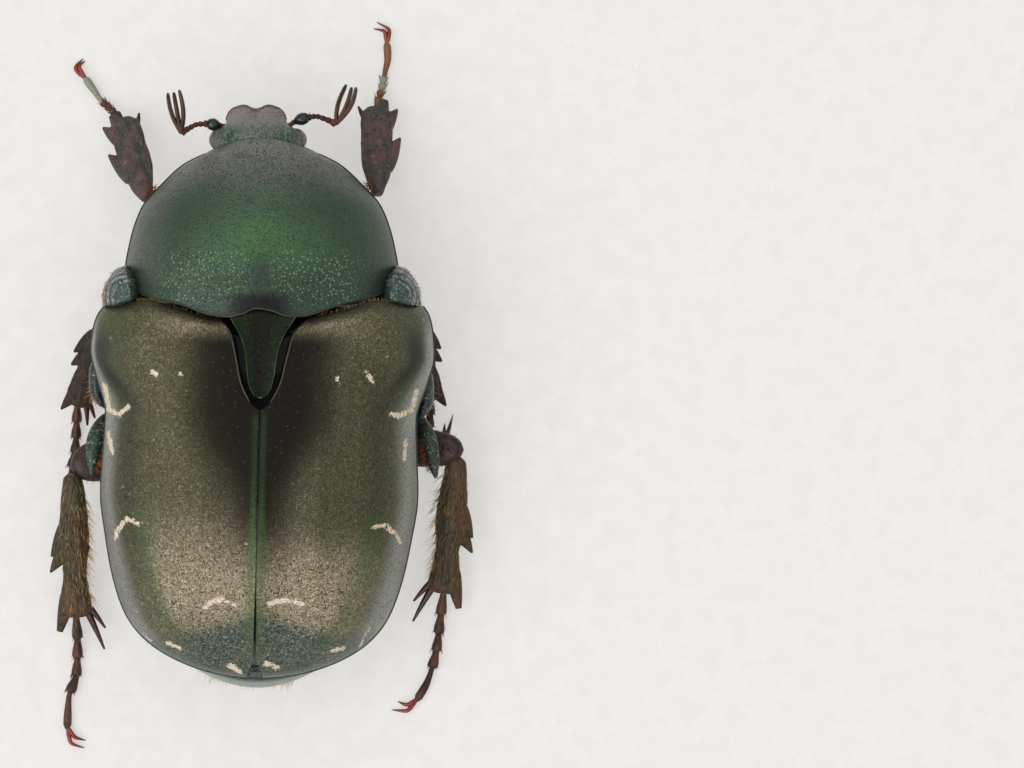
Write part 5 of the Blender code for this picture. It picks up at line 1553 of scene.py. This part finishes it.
# Hair of the body: each piece has its finish, its slot, what else coatOn is told, and for each coat
# the skin, shares of its rows and columns, count, length, radius, seed, out, way and lean.
def makeBodyFur():
    long, short, thin = furShape["fringeRadius"], furShape["shortRadius"], 0.8 * furShape["shortRadius"]
    coats = {
        "furThoraxSides": ("gold", "underside", {}, [
            (thoraxRings, (0.15, 0.92), columns, 800, 0.50, long, seed, 0.45, (0, 0.5, -0.25), (0, 0.1, -0.1))
            for columns, seed in (((0.50, 0.60), 301), ((0.90, 1.0), 299))
        ]),
        "furThoraxBelly": ("gold", "underside", {}, [
            (thoraxRings, (0.1, 0.95), (0.56, 0.94), 700, 0.26, short, 310, 0.4, (0, 0.8, 0)),
        ]),
        "furAbdomenSides": ("cream", "underside", {}, [
            (abdomenRings, (0.05, 0.98), columns, 320, 0.30, long, seed, 0.4, (0, 0.7, -0.1))
            for columns, seed in (((0.49, 0.56), 321), ((0.94, 1.01), 319))
        ]),
        "furTail": ("cream", "underside", {"up": (0, 1, 0)}, [
            (pygidiumGrid, (0.25, 0.7), (0.06, 0.94), 90, 0.22, thin, 330, 0.3, (0, 0.6, -0.45)),
            (pygidiumGrid, (0.5, 0.8), (0.18, 0.26), 26, 0.42, short, 332, 0.3, (0, 0.8, -0.2)),
            (pygidiumGrid, (0.5, 0.8), (0.78, 0.86), 26, 0.42, short, 332, 0.3, (0, 0.8, -0.2)),
        ]),
        "furShoulders": ("gold", "shoulder", {}, [
            (shoulderRings[label], (0.22, 0.50), (0, 0.42), 170, 0.17, thin, 340 + side, 0.5, (0, 0.7, 0.1))
            for label, side in sideOf.items()
        ]),
        "furElytraBase": ("gold", "elytra", {"up": (0, 0, 1), "mess": 0.15}, [
            (elytronGrids[label], (0, 0.01), (0.04, 0.6), 90, 0.16, thin, 350 + side, 0.35, (0, -0.7, 0.1))
            for label, side in sideOf.items()
        ]),
        "furThroat": ("orange", "pronotum", {}, [
            (pronotumRings, (0.01, 0.10), (0.60, 0.90), 260, 0.36, long, 360, 0.3, (0, -0.7, -0.3)),
        ]),
    }
    for name, (finish, slotName, more, coat) in coats.items():
        makePiece(name, [coatOn(*values, **more) for values in coat], furs[finish])


makeBodyFur()
print("body fur made")

# The paper is lit partly from within, as on a light table, so that shadows stay faint.
paperLook = {
    "paper": (229, 226, 222), "paler": (234, 231, 227), "speck": (246, 245, 243), "roughness": 0.85,
    "specular": 0.2, "glow": 0.635, "dimmed": 0.62, "halfWidth": 600,
}


# Pale paper under the beetle, faintly mottled.
def makeFloor():
    look, half = paperLook, paperLook["halfWidth"] * mm
    mesh = bpy.data.meshes.new("paper")
    corners = [(-half, -half, 0), (half, -half, 0), (half, half, 0), (-half, half, 0)]
    mesh.from_pydata(corners, [], [(0, 1, 2, 3)])
    mix = Mix("paperFinish", look)
    mottle = mix.noise(1.2, 4, 0.6)
    mix.colour = mix.blend(mix.rise(mottle, 0.3, 0.7), look["paper"], look["paler"])
    mix.layer(mix.times(mix.rise(mix.noise(3.5, 3, 0.6), 0.64, 0.74), 0.4), look["speck"])
    mix.tree.links.new(mix.colour, mix.shader.inputs["Emission Color"])
    mix.shader.inputs["Emission Strength"].default_value = look["glow"]
    mix.layer(look["dimmed"], (0, 0, 0))
    mesh.materials.append(mix.done([(mottle, 0.02)]))
    floor = bpy.data.objects.new("paper", mesh)
    bpy.context.scene.collection.objects.link(floor)


makeFloor()

# Soft studio light: name, place and size in mm, power in watts, all turned to the beetle.
lampSetup = {
    "leftLamp": ((270, 90, 380), 400, 1.25), "rightLamp": ((-270, -40, 380), 400, 0.22),
    "frontLamp": ((40, -280, 370), 380, 0.46), "rearLamp": ((30, 280, 370), 380, 0.56),
}
skySetup = {"colour": (0.93, 0.96, 1.0, 1.0), "strength": 0.42}


# Square lamps turned to the beetle's middle, 4 mm up, and an even sky.
def makeLight():
    for name, (place, size, power) in lampSetup.items():
        lamp = bpy.data.lights.new(name, "AREA")
        lamp.size = size * mm
        lamp.energy = power
        made = bpy.data.objects.new(name, lamp)
        made.location = [value * mm for value in place]
        aim = np.array(place, float) - (0, 0, 4)
        level = math.hypot(aim[0], aim[1])
        made.rotation_euler = (math.atan2(level, aim[2]), 0, math.atan2(aim[0], -aim[1]))
        bpy.context.scene.collection.objects.link(made)
    world = bpy.data.worlds.new("studioSky")
    world.use_nodes = True
    sky = world.node_tree.nodes["Background"]
    sky.inputs["Color"].default_value = skySetup["colour"]
    sky.inputs["Strength"].default_value = skySetup["strength"]
    bpy.context.scene.world = world


makeLight()

# Camera: straight above, its right to -X and its top to -Y. A picture 1024 wide takes in
# viewWidth at viewLevel.
cameraSetup = {
    "lens": 700.0, "sensor": 36.0, "viewWidth": 38.64, "viewLevel": 4.0, "x": -9.45, "y": -0.04,
    "metresNear": 0.01, "metresFar": 5.0,
}


# The camera stands as far off as viewWidth * lens / sensor over viewLevel.
def makeCamera():
    setup = cameraSetup
    data = bpy.data.cameras.new("camera")
    data.lens, data.sensor_width = setup["lens"], setup["sensor"]
    distance = setup["viewWidth"] * setup["lens"] / setup["sensor"]
    data.clip_start, data.clip_end = setup["metresNear"], setup["metresFar"]
    camera = bpy.data.objects.new("camera", data)
    camera.location = (setup["x"] * mm, setup["y"] * mm, (setup["viewLevel"] + distance) * mm)
    camera.rotation_euler = (0, 0, math.pi)
    bpy.context.scene.collection.objects.link(camera)
    bpy.context.scene.camera = camera


makeCamera()
bpy.context.scene.view_settings.view_transform = "Standard"

print("scene ready")
